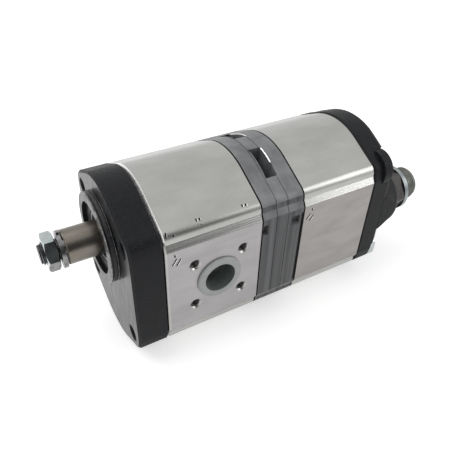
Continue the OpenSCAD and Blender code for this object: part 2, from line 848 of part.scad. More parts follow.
// A bearing block fills both gear bores and carries a bush for each journal
module bearing_block(x0, x1, seal_side) {
    groove_x = seal_side < 0 ? x0 - overrun : x1 - axial_seal_depth;
    color(BRUSHED)
        difference() {
            slab(x0, x1)
                two_circles(block_radius);
            for (z = [0, -centre_distance])
                bar(x0 - overrun, x1 + overrun, bush_radius + seat_gap, 0, z);
            slab(groove_x, groove_x + axial_seal_depth + overrun)
                axial_seal_shape(axial_seal_inner, axial_seal_width + backup_width);
        }
}

// The three-shaped track that shuts the pressure side off from the inlet side
module axial_seal_shape(inner, width) {
    difference() {
        intersection() {
            two_circles(inner + width);
            translate([0, -2 * centre_distance])
                square([centre_distance, 3 * centre_distance]);
        }
        two_circles(inner);
    }
}

module block_bushes(x0, x1) {
    color(BRONZE)
        for (z = [0, -centre_distance])
            difference() {
                bar(x0, x1, bush_radius, 0, z);
                bar(x0 - overrun, x1 + overrun, journal_radius + journal_gap, 0, z);
            }
}

module stage_bushes(x0, x1) {
    block_bushes(x0 + edge_break, x0 + block_length - edge_break);
    block_bushes(x1 - block_length + edge_break, x1 - edge_break);
}

// The rubber part and the hard backing of the axial seals at both ends of a stage
module stage_axial_seals(x0, x1) {
    color(RUBBER)
        for (x = [x0 + seat_gap, x1 - axial_seal_depth + seat_gap])
            slab(x, x + axial_seal_depth - 2 * seat_gap)
                axial_seal_shape(axial_seal_inner + seat_gap, axial_seal_width - 2 * seat_gap);
}

module stage_backup_rings(x0, x1) {
    color(ZINC)
        for (x = [x0 + seat_gap, x1 - axial_seal_depth + seat_gap])
            slab(x, x + axial_seal_depth - 2 * seat_gap)
                axial_seal_shape(axial_seal_inner + axial_seal_width + seat_gap,
                    backup_width - 2 * seat_gap);
}

module front_stage_front_block() {
    bearing_block(front_body_x, front_body_x + block_length, -1);
}

module front_stage_rear_block() {
    bearing_block(middle_x - block_length, middle_x, 1);
}

module front_stage_bushes() {
    stage_bushes(front_body_x, middle_x);
}

module front_stage_axial_seals() {
    stage_axial_seals(front_body_x, middle_x);
}

module front_stage_backup_rings() {
    stage_backup_rings(front_body_x, middle_x);
}

module middle_front_seal_ring() {
    seal_ring(middle_x, middle_x + seal_ring_depth - seat_gap);
}

module middle_front_dowels() {
    dowel_pair(middle_x);
}

// One window through the crown into the chamber, with a drawn ledge on its front side
module window(side) {
    reach = crown_radius + overrun;
    from = 90 - side * web_angle;
    to = 90 - side * window_angle;
    function sector(inner, outer, a, b) =
        concat(arc([0, crown_z], outer, a, b, shoulder_steps),
            arc([0, crown_z], inner, b, a, shoulder_steps));
    slab(window_x, window_x + window_length)
        polygon(sector(window_floor_radius, reach, from, to));
    slab(window_x - window_ledge, window_x + overrun)
        polygon(sector(crown_radius - window_ledge_depth, reach, from, to));
}

module middle_windows() {
    for (side = [-1, 1]) {
        window(side);
        translate([0, 0, 2 * middle_z])
            scale([1, 1, -1])
                window(side);
    }
}

// A shallow pocket in a port side of the middle flange
module side_notch(x, size) {
    for (side = [-1, 1])
        translate([x, side * half_width - (side < 0 ? overrun : notch_depth),
            notch_z - size[1] / 2])
            cube([size[0], notch_depth + overrun, size[1]]);
}

module middle_flange() {
    groove_z = edge_z - 2 * groove_width;
    groove_height = groove_z - (2 * middle_z - edge_z) - groove_width;
    color(CAST_GREY)
        difference() {
            slab(middle_x, rear_body_x)
                polygon(outline(BODY_FORM, 0));
            bolt_holes(middle_x - overrun, rear_body_x + overrun, bolt_hole_radius);
            dowel_holes(middle_x);
            dowel_holes(rear_body_x);
            bar(middle_x - overrun, rear_body_x + overrun, seal_radius + seat_gap);
            bar(chamber_x, chamber_end_x, chamber_radius);
            bar(window_x, window_x + window_length, chamber_radius, 0, -centre_distance);
            translate([window_x, -vent_half_width, -centre_distance])
                cube([window_length, 2 * vent_half_width, centre_distance]);
            middle_windows();
            side_notch(middle_x - overrun, [front_notch[0] + overrun, front_notch[1]]);
            side_notch(window_x + window_length + groove_width, rear_notch);
            for (side = [-1, 1])
                translate([rear_body_x - groove_width,
                    side * half_width - (side < 0 ? overrun : groove_depth),
                    groove_z - groove_height])
                    cube([groove_width + overrun, groove_depth + overrun, groove_height]);
            ring_groove(middle_x - overrun, middle_x + seal_ring_depth);
            ring_groove(rear_body_x - seal_ring_depth, rear_body_x + overrun);
        }
}

module middle_front_shaft_seal() {
    lip_seal(middle_x + seal_setback, middle_seal_width, false);
}

module middle_rear_shaft_seal() {
    lip_seal(chamber_end_x, middle_seal_width, true);
}

module middle_rear_seal_ring() {
    seal_ring(rear_body_x - seal_ring_depth + seat_gap, rear_body_x);
}

module middle_rear_dowels() {
    dowel_pair(rear_body_x);
}

module rear_body() {
    color(BRUSHED)
        difference() {
            housing_block(BODY_FORM, rear_body_x, rear_cover_x, body_chamfer);
            body_bores(rear_body_x, rear_cover_x);
            port_bore(rear_inlet_x, 1, rear_inlet_radius);
            port_bolt_holes(rear_inlet_x, 1, rear_inlet_spacing, outlet_core_radius);
            cross_bar(passage_y, -chamber_waist + overrun, passage_radius + edge_break,
                rear_inlet_x, middle_z);
            bar(rear_inlet_x - passage_radius, rear_cover_x + overrun, passage_radius,
                passage_y, middle_z);
        }
}

module rear_stage_front_block() {
    bearing_block(rear_body_x, rear_body_x + block_length, -1);
}

module rear_stage_rear_block() {
    bearing_block(rear_cover_x - block_length, rear_cover_x, 1);
}

module rear_stage_bushes() {
    stage_bushes(rear_body_x, rear_cover_x);
}

module rear_stage_axial_seals() {
    stage_axial_seals(rear_body_x, rear_cover_x);
}

module rear_stage_backup_rings() {
    stage_backup_rings(rear_body_x, rear_cover_x);
}

module rear_cover_seal_ring() {
    seal_ring(rear_cover_x, rear_cover_x + seal_ring_depth - seat_gap);
}

module rear_cover_dowels() {
    dowel_pair(rear_cover_x);
}

// The cast boss: an upright root, a tapering side, a rounded edge and a machined face
function boss_profile() =
    concat([[0, rear_face_x - boss_root], [boss_radius, rear_face_x - boss_root],
        [boss_radius, rear_face_x]],
        arc([boss_face_radius, boss_face_x - boss_edge_radius], boss_edge_radius, 0, 90,
            boss_steps),
        [[0, boss_face_x]]);

// Places its children at the two bolts of a row, 0 for the upper row and 1 for the lower
module at_row(row) {
    for (y = [-bolt_y, bolt_y])
        translate([0, y, bolt_z - row * bolt_spacing])
            children();
}

module rear_cover() {
    round_edge = 2 * cover_chamfer;
    color(BLACK_PAINT)
        difference() {
            union() {
                housing(COVER_FORM, [[rear_cover_x, cover_chamfer],
                    [rear_cover_x + cover_chamfer, 0], [rear_face_x - round_edge, 0],
                    [rear_face_x - round_edge / 2, round_edge / 6],
                    [rear_face_x, round_edge / 2]]);
                intersection() {
                    turned(boss_profile(), -fitting_offset, middle_z);
                    translate([rear_cover_x, -COVER_FORM[0], -2 * centre_distance])
                        cube([2 * boss_height + rear_cover_length, 2 * COVER_FORM[0],
                            3 * centre_distance]);
                }
            }
            bolt_holes(rear_cover_x - overrun, rear_face_x + overrun, bolt_hole_radius);
            for (row = [0, 1])
                at_row(row)
                    bar(rear_face_x - pad_depths[row], boss_face_x + overrun, pad_radius);
            dowel_holes(rear_cover_x);
            ring_groove(rear_cover_x - overrun, rear_cover_x + seal_ring_depth);
            bar(rear_cover_x - overrun, stud_hole_x + overrun, passage_radius,
                passage_y, middle_z);
            bar(stud_hole_x, boss_face_x + overrun, stud_radius + seat_gap,
                -fitting_offset, middle_z);
        }
}

// Four long bolts hold both stages together and screw into the front cover
module through_bolts() {
    tip_x = front_body_x - bolt_engagement + edge_break;
    color(STEEL)
        for (row = [0, 1])
            at_row(row) {
                head_x = rear_face_x - pad_depths[row];
                bar(tip_x, head_x + overrun, bolt_diameter / 2);
                hex_bar(head_x, head_x + bolt_head_height, bolt_head_width, 0);
            }
}

module fitting_seal_ring() {
    inner = stud_radius + seat_gap;
    color(RUBBER)
        difference() {
            bar(fitting_x, fitting_x + fitting_seal_thickness, inner + fitting_seal_thickness,
                -fitting_offset, middle_z);
            bar(fitting_x - overrun, fitting_x + fitting_seal_thickness + overrun, inner,
                -fitting_offset, middle_z);
        }
}

module outlet_fitting() {
    seal_end_x = fitting_x + fitting_seal_thickness + seat_gap;
    color(ZINC)
        difference() {
            union() {
                difference() {
                    hex_bar(fitting_x, hex_end_x, fitting_width, fitting_turn, -fitting_offset,
                        middle_z);
                    bar(fitting_x - overrun, seal_end_x,
                        stud_radius + fitting_seal_thickness + 2 * seat_gap,
                        -fitting_offset, middle_z);
                }
                bar(fitting_x - stud_length, seal_end_x + overrun, stud_radius,
                    -fitting_offset, middle_z);
                turned([[0, hex_end_x - overrun], [fitting_core_radius, hex_end_x - overrun],
                    [fitting_core_radius, hex_end_x], [fitting_collar_radius, hex_end_x],
                    [fitting_collar_radius, collar_end_x - edge_break],
                    [fitting_collar_radius - edge_break, collar_end_x], [0, collar_end_x]],
                    -fitting_offset, middle_z);
                turned([[0, collar_end_x - overrun],
                    [fitting_thread_radius, collar_end_x - overrun],
                    [fitting_thread_radius, fitting_end_x - thread_chamfer],
                    [fitting_thread_radius - thread_chamfer, fitting_end_x],
                    [0, fitting_end_x]], -fitting_offset, middle_z);
            }
            bar(fitting_x - stud_length - overrun, fitting_end_x + overrun, fitting_bore_radius,
                -fitting_offset, middle_z);
            bar(fitting_end_x - cone_depth, fitting_end_x, fitting_bore_radius,
                -fitting_offset, middle_z, fitting_thread_radius - 2 * thread_chamfer);
        }
}

// A plastic transport plug: a thin cup in the bore with a collar on the port face
module port_plug(x, side, radius) {
    outer = radius - slide_gap;
    rim = radius + plug_collar;
    face = half_width + slide_gap;
    top = face + plug_collar_height;
    color(PLUG_GREEN)
        translate([x, 0, middle_z])
            scale([1, side, 1])
                rotate([-90, 0, 0])
                    rotate_extrude($fn = 72)
                        polygon([[0, face - plug_length],
                            [outer - edge_break, face - plug_length],
                            [outer, face - plug_length + edge_break], [outer, face],
                            [rim, face], [rim, top - edge_break], [rim - edge_break, top],
                            [outer - plug_wall, top],
                            [outer - plug_wall, face - plug_length + plug_wall],
                            [0, face - plug_length + plug_wall]]);
}

module front_outlet_plug() {
    port_plug(front_port_x, -1, outlet_radius);
}

module front_inlet_plug() {
    port_plug(front_inlet_x, 1, front_inlet_radius);
}

module rear_inlet_plug() {
    port_plug(rear_inlet_x, 1, rear_inlet_radius);
}

front_drive_gear();
woodruff_key();
shaft_sleeve();
spring_washer();
shaft_nut();
coupling_disc();
rear_drive_gear();
front_driven_gear();
rear_driven_gear();
front_cover();
pilot_ring();
shaft_seal();
seal_circlip();
front_cover_seal_ring();
front_cover_dowels();
front_body();
front_stage_front_block();
front_stage_rear_block();
front_stage_bushes();
front_stage_axial_seals();
front_stage_backup_rings();
middle_front_seal_ring();
middle_front_dowels();
middle_flange();
middle_front_shaft_seal();
middle_rear_shaft_seal();
middle_rear_seal_ring();
middle_rear_dowels();
rear_body();
rear_stage_front_block();
rear_stage_rear_block();
rear_stage_bushes();
rear_stage_axial_seals();
rear_stage_backup_rings();
rear_cover_seal_ring();
rear_cover_dowels();
rear_cover();
through_bolts();
fitting_seal_ring();
outlet_fitting();
front_outlet_plug();
front_inlet_plug();
rear_inlet_plug();
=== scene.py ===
import json
import math

import bpy
from mathutils import Matrix, Vector


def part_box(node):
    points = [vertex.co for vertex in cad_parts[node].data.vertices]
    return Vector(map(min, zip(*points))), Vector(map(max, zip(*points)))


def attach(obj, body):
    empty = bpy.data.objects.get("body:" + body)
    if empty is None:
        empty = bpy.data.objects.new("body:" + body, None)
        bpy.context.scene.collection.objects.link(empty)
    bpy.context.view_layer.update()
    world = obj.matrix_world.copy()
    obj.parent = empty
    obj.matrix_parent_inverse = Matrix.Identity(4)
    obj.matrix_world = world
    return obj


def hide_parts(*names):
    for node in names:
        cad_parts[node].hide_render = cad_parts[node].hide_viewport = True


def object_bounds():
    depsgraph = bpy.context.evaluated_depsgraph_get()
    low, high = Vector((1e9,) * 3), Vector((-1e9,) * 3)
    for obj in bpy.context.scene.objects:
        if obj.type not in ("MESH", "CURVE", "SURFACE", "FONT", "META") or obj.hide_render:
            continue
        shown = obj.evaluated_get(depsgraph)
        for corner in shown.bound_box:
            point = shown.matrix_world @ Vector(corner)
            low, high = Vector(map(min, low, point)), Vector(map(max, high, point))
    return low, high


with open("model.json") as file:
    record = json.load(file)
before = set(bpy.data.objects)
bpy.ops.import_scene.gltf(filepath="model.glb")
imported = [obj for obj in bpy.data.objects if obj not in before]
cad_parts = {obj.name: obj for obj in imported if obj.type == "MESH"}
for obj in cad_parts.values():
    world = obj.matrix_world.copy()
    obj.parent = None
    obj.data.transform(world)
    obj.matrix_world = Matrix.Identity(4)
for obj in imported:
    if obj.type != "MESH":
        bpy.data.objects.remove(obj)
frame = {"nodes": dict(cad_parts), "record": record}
cad_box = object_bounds()
nodes_of = frame["nodes"]

# Camera
# The photograph's place and turn, solved from points of the pump: it looks down on the
# shaft end and the port side from the front left, about 31 cm from the pump's middle.
PHOTO_SIZE = 452
PHOTO_FOCAL_PIXELS = 499.368
SENSOR_MM = 36.0
NEAREST_SEEN = 0.01
CAMERA_PLACE = (-0.0490, -0.2053, 0.1690)
camera_data = bpy.data.cameras.new("photo_camera")
camera_data.sensor_width = SENSOR_MM
camera_data.lens = PHOTO_FOCAL_PIXELS * SENSOR_MM / PHOTO_SIZE
camera_data.clip_start = NEAREST_SEEN
camera = bpy.data.objects.new("photo_camera", camera_data)
bpy.context.collection.objects.link(camera)
to_right = Vector((0.8671, -0.4973, 0.0276))
to_top = Vector((0.2913, 0.5513, 0.7818))
away = Vector((0.4040, 0.6699, -0.6229))
camera_turn = Matrix((to_right, to_top, -away)).transposed().to_4x4()
camera.matrix_world = Matrix.Translation(CAMERA_PLACE) @ camera_turn
bpy.context.scene.camera = camera
bpy.context.scene.view_settings.view_transform = "Standard"


# Studio
# A white table and white surroundings, as in the photograph, with a dim side that the metal
# shows. The table keeps the pump's shadow, and a soft window lamp stands to the right and
# another hangs over the back left.
TABLE_GAP = 0.0004
TABLE_SIDE = 6.0
TABLE_MIDDLE_X = 0.1
TABLE_SHADE = (0.86, 0.86, 0.86, 1.0)
TABLE_GLOW = 0.45
SKY_LIGHT = 0.62
SKY_LOW = (0.05, (0.62, 0.63, 0.66, 1.0))
SKY_HIGH = (0.85, (1.0, 1.0, 0.99, 1.0))
BACK_WHITE = (1.0, 1.0, 1.0, 1.0)
DIM_SIDE = (0.12, -0.90, 0.42)
DIM_SIDE_EDGES = (0.74, 0.985)
DIM_SIDE_LEVEL = 0.06
PUMP_MIDDLE = Vector((0.085, 0.0, -0.017))
STUDIO_LAMPS = (
    ("window_lamp", (0.97, -0.69, 0.63), 0.7, 4.0),
    ("ceiling_lamp", (-0.45, 0.25, 1.0), 0.8, 6.0),
)


def seen_straight(tree):
    """1 for what the camera, a mirror or glass shows, 0 for the light on the surfaces."""
    path = tree.nodes.new("ShaderNodeLightPath")
    seen = path.outputs["Is Camera Ray"]
    for kind in ("Is Glossy Ray", "Is Transmission Ray"):
        either = tree.nodes.new("ShaderNodeMath")
        either.operation = "MAXIMUM"
        tree.links.new(seen, either.inputs[0])
        tree.links.new(path.outputs[kind], either.inputs[1])
        seen = either.outputs["Value"]
    return seen


table_height = cad_box[0][2] - TABLE_GAP
bpy.ops.object.select_all(action="DESELECT")
bpy.ops.mesh.primitive_plane_add(size=TABLE_SIDE, location=(TABLE_MIDDLE_X, 0.0, table_height))
table = bpy.context.object
table.name = "studio_table"
bpy.ops.object.transform_apply(location=True, rotation=True, scale=True)
table_white = bpy.data.materials.new("table_white")
table_white.use_nodes = True
tree = table_white.node_tree
tree.nodes.clear()
table_output = tree.nodes.new("ShaderNodeOutputMaterial")
table_diffuse = tree.nodes.new("ShaderNodeBsdfDiffuse")
table_diffuse.inputs["Color"].default_value = TABLE_SHADE
table_glow = tree.nodes.new("ShaderNodeEmission")
glow_level = tree.nodes.new("ShaderNodeMath")
glow_level.operation = "MULTIPLY"
glow_level.inputs[1].default_value = TABLE_GLOW
table_add = tree.nodes.new("ShaderNodeAddShader")
tree.links.new(seen_straight(tree), glow_level.inputs[0])
tree.links.new(glow_level.outputs["Value"], table_glow.inputs["Strength"])
tree.links.new(table_diffuse.outputs["BSDF"], table_add.inputs[0])
tree.links.new(table_glow.outputs["Emission"], table_add.inputs[1])
tree.links.new(table_add.outputs["Shader"], table_output.inputs["Surface"])
table.data.materials.append(table_white)

world = bpy.data.worlds.new("studio_world")
bpy.context.scene.world = world
world.use_nodes = True
tree = world.node_tree
tree.nodes.clear()
world_output = tree.nodes.new("ShaderNodeOutputWorld")
soft_sky = tree.nodes.new("ShaderNodeBackground")
soft_sky.inputs["Strength"].default_value = SKY_LIGHT
white_back = tree.nodes.new("ShaderNodeBackground")
white_back.inputs["Color"].default_value = BACK_WHITE
world_mix = tree.nodes.new("ShaderNodeMixShader")
sky_place = tree.nodes.new("ShaderNodeTexCoord")
sky_parts = tree.nodes.new("ShaderNodeSeparateXYZ")
sky_ramp = tree.nodes.new("ShaderNodeValToRGB")
for sky_stop, (stop_height, stop_colour) in zip(sky_ramp.color_ramp.elements, (SKY_LOW, SKY_HIGH)):
    sky_stop.position = stop_height
    sky_stop.color = stop_colour
dim_side = tree.nodes.new("ShaderNodeVectorMath")
dim_side.operation = "DOT_PRODUCT"
dim_side.inputs[1].default_value = DIM_SIDE
dim_level = tree.nodes.new("ShaderNodeMapRange")
dim_level.interpolation_type = "SMOOTHSTEP"
dim_level.inputs["From Min"].default_value = DIM_SIDE_EDGES[0]
dim_level.inputs["From Max"].default_value = DIM_SIDE_EDGES[1]
dim_level.inputs["To Min"].default_value = 1.0
dim_level.inputs["To Max"].default_value = DIM_SIDE_LEVEL
back_path = tree.nodes.new("ShaderNodeLightPath")
back_level = tree.nodes.new("ShaderNodeMath")
back_level.operation = "MAXIMUM"
tree.links.new(sky_place.outputs["Generated"], sky_parts.inputs["Vector"])
tree.links.new(sky_parts.outputs["Z"], sky_ramp.inputs["Fac"])
tree.links.new(sky_ramp.outputs["Color"], soft_sky.inputs["Color"])
tree.links.new(sky_place.outputs["Generated"], dim_side.inputs[0])
tree.links.new(dim_side.outputs["Value"], dim_level.inputs["Value"])
tree.links.new(dim_level.outputs["Result"], back_level.inputs[0])
tree.links.new(back_path.outputs["Is Camera Ray"], back_level.inputs[1])
tree.links.new(back_level.outputs["Value"], white_back.inputs["Strength"])
tree.links.new(seen_straight(tree), world_mix.inputs["Fac"])
tree.links.new(soft_sky.outputs["Background"], world_mix.inputs[1])
tree.links.new(white_back.outputs["Background"], world_mix.inputs[2])
tree.links.new(world_mix.outputs["Shader"], world_output.inputs["Surface"])

for lamp_name, lamp_place, lamp_size, lamp_watts in STUDIO_LAMPS:
    lamp_data = bpy.data.lights.new(lamp_name, "AREA")
    lamp_data.shape = "SQUARE"
    lamp_data.size = lamp_size
    lamp_data.energy = lamp_watts
    lamp = bpy.data.objects.new(lamp_name, lamp_data)
    bpy.context.collection.objects.link(lamp)
    lamp.location = lamp_place
    towards_pump = PUMP_MIDDLE - Vector(lamp_place)
    lamp.rotation_euler = towards_pump.to_track_quat("-Z", "Y").to_euler()


# Black covers
# The front and rear covers are castings, painted satin black all over and then turned and
# milled on the pilot and the mounting face, which are smoother than the cast sides.
GRAIN_LOW = 0.35
GRAIN_HIGH = 0.65


def new_finish(name, base, metallic, roughness):
    """A new surface finish, with its node tree and its shader."""
    finish = bpy.data.materials.new(name)
    finish.use_nodes = True
    shader = finish.node_tree.nodes["Principled BSDF"]
    shader.inputs["Base Color"].default_value = (*base, 1.0)
    shader.inputs["Metallic"].default_value = metallic
    shader.inputs["Roughness"].default_value = roughness
    return finish, finish.node_tree, shader


def grain(tree, scale, detail, stretch=(1.0, 1.0, 1.0), rough=0.55):
    """A cloudy pattern through the whole piece, which a stretch draws out along an axis."""
    place = tree.nodes.new("ShaderNodeTexCoord")
    mapping = tree.nodes.new("ShaderNodeMapping")
    mapping.inputs["Scale"].default_value = stretch
    noise = tree.nodes.new("ShaderNodeTexNoise")
    noise.inputs["Scale"].default_value = scale
    noise.inputs["Detail"].default_value = detail
    noise.inputs["Roughness"].default_value = rough
    tree.links.new(place.outputs["Object"], mapping.inputs["Vector"])
    tree.links.new(mapping.outputs["Vector"], noise.inputs["Vector"])
    return noise.outputs["Fac"]


def spread(tree, source, low, high):
    """A level between low and high that follows a pattern."""
    ramp = tree.nodes.new("ShaderNodeMapRange")
    ramp.inputs["From Min"].default_value = GRAIN_LOW
    ramp.inputs["From Max"].default_value = GRAIN_HIGH
    ramp.inputs["To Min"].default_value = low
    ramp.inputs["To Max"].default_value = high
    tree.links.new(source, ramp.inputs["Value"])
    return ramp.outputs["Result"]


def tint(tree, source, dark, light):
    """A colour between dark and light that follows a pattern."""
    ramp = tree.nodes.new("ShaderNodeValToRGB")
    ramp.color_ramp.elements[0].position = GRAIN_LOW
    ramp.color_ramp.elements[0].color = (*dark, 1.0)
    ramp.color_ramp.elements[1].position = GRAIN_HIGH
    ramp.color_ramp.elements[1].color = (*light, 1.0)
    tree.links.new(source, ramp.inputs["Fac"])
    return ramp.outputs["Color"]


def relief(tree, shader, source, depth, strength=1.0):
    """Fine roughness of the surface that follows a pattern, over any relief there is."""
    bump = tree.nodes.new("ShaderNodeBump")
    bump.inputs["Distance"].default_value = depth
    bump.inputs["Strength"].default_value = strength
    tree.links.new(source, bump.inputs["Height"])
    if shader.inputs["Normal"].links:
        tree.links.new(shader.inputs["Normal"].links[0].from_socket, bump.inputs["Normal"])
    tree.links.new(bump.outputs["Normal"], shader.inputs["Normal"])


def mottled(name, base, metallic, roughness, pattern, dark, light, rough_levels=None):
    """A finish whose colour, and roughness where levels are given, follow one grain."""
    finish, tree, shader = new_finish(name, base, metallic, roughness)
    cloud = grain(tree, *pattern)
    tree.links.new(tint(tree, cloud, dark, light), shader.inputs["Base Color"])
    if rough_levels:
        tree.links.new(spread(tree, cloud, *rough_levels), shader.inputs["Roughness"])
    return finish


cast_black, tree, shader = new_finish("cast_black_paint", (0.01, 0.0105, 0.012), 0.0, 0.5)
shader.inputs["Specular IOR Level"].default_value = 0.14
coarse = grain(tree, 900.0, 3.0)
tree.links.new(tint(tree, coarse, (0.007, 0.0075, 0.009), (0.014, 0.0145, 0.016)),
               shader.inputs["Base Color"])
tree.links.new(spread(tree, coarse, 0.4, 0.6), shader.inputs["Roughness"])
relief(tree, shader, coarse, 0.0003, 0.7)
relief(tree, shader, grain(tree, 120.0, 2.0), 0.0006, 0.25)

turned_black, tree, shader = new_finish("turned_black_face", (0.03, 0.031, 0.032), 0.0, 0.33)
shader.inputs["Specular IOR Level"].default_value = 0.4
milled = grain(tree, 60.0, 4.0, (1.0, 9.0, 1.0))
tree.links.new(tint(tree, milled, (0.022, 0.023, 0.024), (0.038, 0.038, 0.039)),
               shader.inputs["Base Color"])
tree.links.new(spread(tree, milled, 0.26, 0.38), shader.inputs["Roughness"])
relief(tree, shader, grain(tree, 300.0, 3.0), 0.0001, 0.2)

pilot_black, tree, shader = new_finish("pilot_gloss_black", (0.006, 0.007, 0.008), 0.0, 0.22)
shader.inputs["Specular IOR Level"].default_value = 0.3
rings = grain(tree, 40.0, 4.0, (40.0, 1.0, 1.0))
tree.links.new(spread(tree, rings, 0.16, 0.28), shader.inputs["Roughness"])
relief(tree, shader, rings, 0.00004, 0.3)

bare_edge = mottled("bare_turned_edge", (0.20, 0.20, 0.20), 1.0, 0.35, (500.0, 3.0),
                    (0.10, 0.10, 0.10), (0.28, 0.28, 0.28))

RIM_CHAMFER = 0.0008
RIM_TOUCH = 0.00005
MERGE_GAP = 0.000002
FLAT_ANGLE = 0.5
SMOOTH_ANGLE = 25.0
EVEN_WEIGHT = 50
MM_PER_M = 1000.0


def tapped_holes(mount_name):
    """The mouths of a bolt pattern's holes as (axis, mouth centre, radius)."""
    mount = next(m for m in frame["record"]["mounts"] if m["name"] == mount_name)
    axis = [abs(part) > 0.5 for part in mount["axis"]].index(True)
    first, second = [number for number in range(3) if number != axis]
    sizes = mount["dims"]
    mouths = []
    for side in (-1, 1):
        for other in (-1, 1):
            centre = Vector(mount["pos_m"])
            centre[first] += side * sizes["spacing_x_mm"] / 2.0 / MM_PER_M
            centre[second] += other * sizes["spacing_y_mm"] / 2.0 / MM_PER_M
            mouths.append((axis, centre, sizes["hole_r_mm"] / MM_PER_M))
    return mouths


def on_rim(corner, mouths):
    """Whether a corner lies on the rim of one of the mouths."""
    for axis, centre, radius in mouths:
        away_from = corner - centre
        along = away_from[axis]
        away_from[axis] = 0.0
        if abs(along) < RIM_TOUCH and abs(away_from.length - radius) < RIM_TOUCH:
            return True
    return False


def pick_edges(piece, wanted):
    """Selects the edges whose two ends pass a test, ready for an edit-mode operator."""
    bpy.ops.object.select_all(action="DESELECT")
    piece.select_set(True)
    bpy.context.view_layer.objects.active = piece
    bpy.ops.object.mode_set(mode="EDIT")
    bpy.ops.mesh.select_mode(type="EDGE")
    bpy.ops.mesh.select_all(action="DESELECT")
    bpy.ops.object.mode_set(mode="OBJECT")
    corners = piece.data.vertices
    for edge in piece.data.edges:
        edge.select = all(wanted(corners[end].co) for end in edge.vertices)
    bpy.ops.object.mode_set(mode="EDIT")


def break_rims(piece, mouths, width):
    """Breaks the sharp rims of round holes and shoulders with a 45-degree chamfer."""
    pick_edges(piece, lambda corner: on_rim(corner, mouths))
    bpy.ops.mesh.bevel(offset=width, segments=1, affect="EDGES")
    bpy.ops.mesh.select_all(action="DESELECT")
    bpy.ops.object.mode_set(mode="OBJECT")


def smooth_over(piece, angle=SMOOTH_ANGLE):
    """Shades a piece smoothly up to an angle, with the large faces kept flat."""
    bpy.ops.object.select_all(action="DESELECT")
    piece.select_set(True)
    bpy.context.view_layer.objects.active = piece
    bpy.ops.object.shade_smooth_by_angle(angle=math.radians(angle))
    bpy.ops.object.mode_set(mode="EDIT")
    bpy.ops.mesh.select_mode(type="EDGE")
    bpy.ops.mesh.select_all(action="DESELECT")
    bpy.ops.mesh.edges_select_sharp(sharpness=math.radians(angle))
    bpy.ops.mesh.mark_sharp()
    bpy.ops.mesh.select_all(action="DESELECT")
    bpy.ops.mesh.select_mode(type="VERT")
    bpy.ops.object.mode_set(mode="OBJECT")
    bpy.ops.object.modifier_add(type="WEIGHTED_NORMAL")
    by_area = piece.modifiers[-1]
    by_area.weight = EVEN_WEIGHT
    by_area.keep_sharp = True
    bpy.ops.object.modifier_apply(modifier=by_area.name)


def dressed_copy(node, name, body, rims=()):
    """A merged copy of a CAD node's mesh, which stands for the node in the scene."""
    bpy.ops.object.select_all(action="DESELECT")
    source = nodes_of[node]
    piece = bpy.data.objects.new(name, source.data.copy())
    bpy.context.collection.objects.link(piece)
    piece.data.materials.clear()
    piece.select_set(True)
    bpy.context.view_layer.objects.active = piece
    bpy.ops.object.mode_set(mode="EDIT")
    bpy.ops.mesh.select_all(action="SELECT")
    bpy.ops.mesh.remove_doubles(threshold=MERGE_GAP)
    bpy.ops.mesh.dissolve_limited(angle_limit=math.radians(FLAT_ANGLE))
    bpy.ops.mesh.select_all(action="DESELECT")
    bpy.ops.object.mode_set(mode="OBJECT")
    for mouths, width in rims:
        break_rims(piece, mouths, width)
    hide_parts(node)
    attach(piece, body)
    return piece


def finish_faces(piece, finish, wanted):
    """Gives a finish to the faces that pass a test of their middle and their normal."""
    piece.data.materials.append(finish)
    index = len(piece.data.materials) - 1
    for face in piece.data.polygons:
        if wanted(face.center, face.normal):
            face.material_index = index


RIDGE_HALF_SHARE = 0.42
RIDGE_MERGE_GAP = 0.000001
RIDGE_SMOOTH_ANGLE = 30.0


def thread_ridge(name, axis, start, root, crest, pitch, turns, steps, finish, body):
    """A rolled or tapped thread: a three-sided profile screwed round an axis."""
    bpy.ops.object.select_all(action="DESELECT")
    bpy.ops.mesh.primitive_circle_add(vertices=3, radius=pitch)
    ridge = bpy.context.object
    ridge.name = name
    half = pitch * RIDGE_HALF_SHARE
    for corner, (along, radius) in zip(ridge.data.vertices,
                                       ((-half, root), (0.0, crest), (half, root))):
        corner.co = (along, 0.0, radius) if axis == "X" else (0.0, along, radius)
    bpy.ops.object.modifier_add(type="SCREW")
    screw = ridge.modifiers[-1]
    screw.axis = axis
    screw.screw_offset = pitch
    screw.iterations = turns
    screw.steps = steps
    screw.render_steps = steps
    bpy.ops.object.modifier_apply(modifier=screw.name)
    bpy.ops.object.mode_set(mode="EDIT")
    bpy.ops.mesh.select_all(action="SELECT")
    bpy.ops.mesh.remove_doubles(threshold=RIDGE_MERGE_GAP)
    bpy.ops.mesh.fill_holes(sides=4)
    bpy.ops.mesh.normals_make_consistent(inside=False)
    bpy.ops.mesh.select_all(action="DESELECT")
    bpy.ops.object.mode_set(mode="OBJECT")
    ridge.location = start
    bpy.ops.object.transform_apply(location=True, rotation=True, scale=True)
    bpy.ops.object.shade_smooth_by_angle(angle=math.radians(RIDGE_SMOOTH_ANGLE))
    ridge.data.materials.append(finish)
    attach(ridge, body)


TAPPED_TURNS = 6
TAPPED_STEPS = 28
TAPPED_SINK = 0.00004
TAPPED_HEIGHT = 0.00042
M6_PITCH = 0.0010
M8_PITCH = 0.00125
M10_PITCH = 0.0015


def tapped_threads(label, mouths, inward, pitch, finish):
    """Thread ridges inside the mouths of tapped holes; inward is +1 or -1 on the axis."""
    for number, (axis, centre, radius) in enumerate(mouths):
        start = centre.copy()
        deep = RIM_CHAMFER + pitch * 0.5
        start[axis] += inward * deep if inward > 0 else -deep - pitch * TAPPED_TURNS
        thread_ridge(label + "_" + str(number), "XYZ"[axis], start, radius + TAPPED_SINK,
                     radius - TAPPED_HEIGHT, pitch, TAPPED_TURNS, TAPPED_STEPS, finish,
                     "housing")


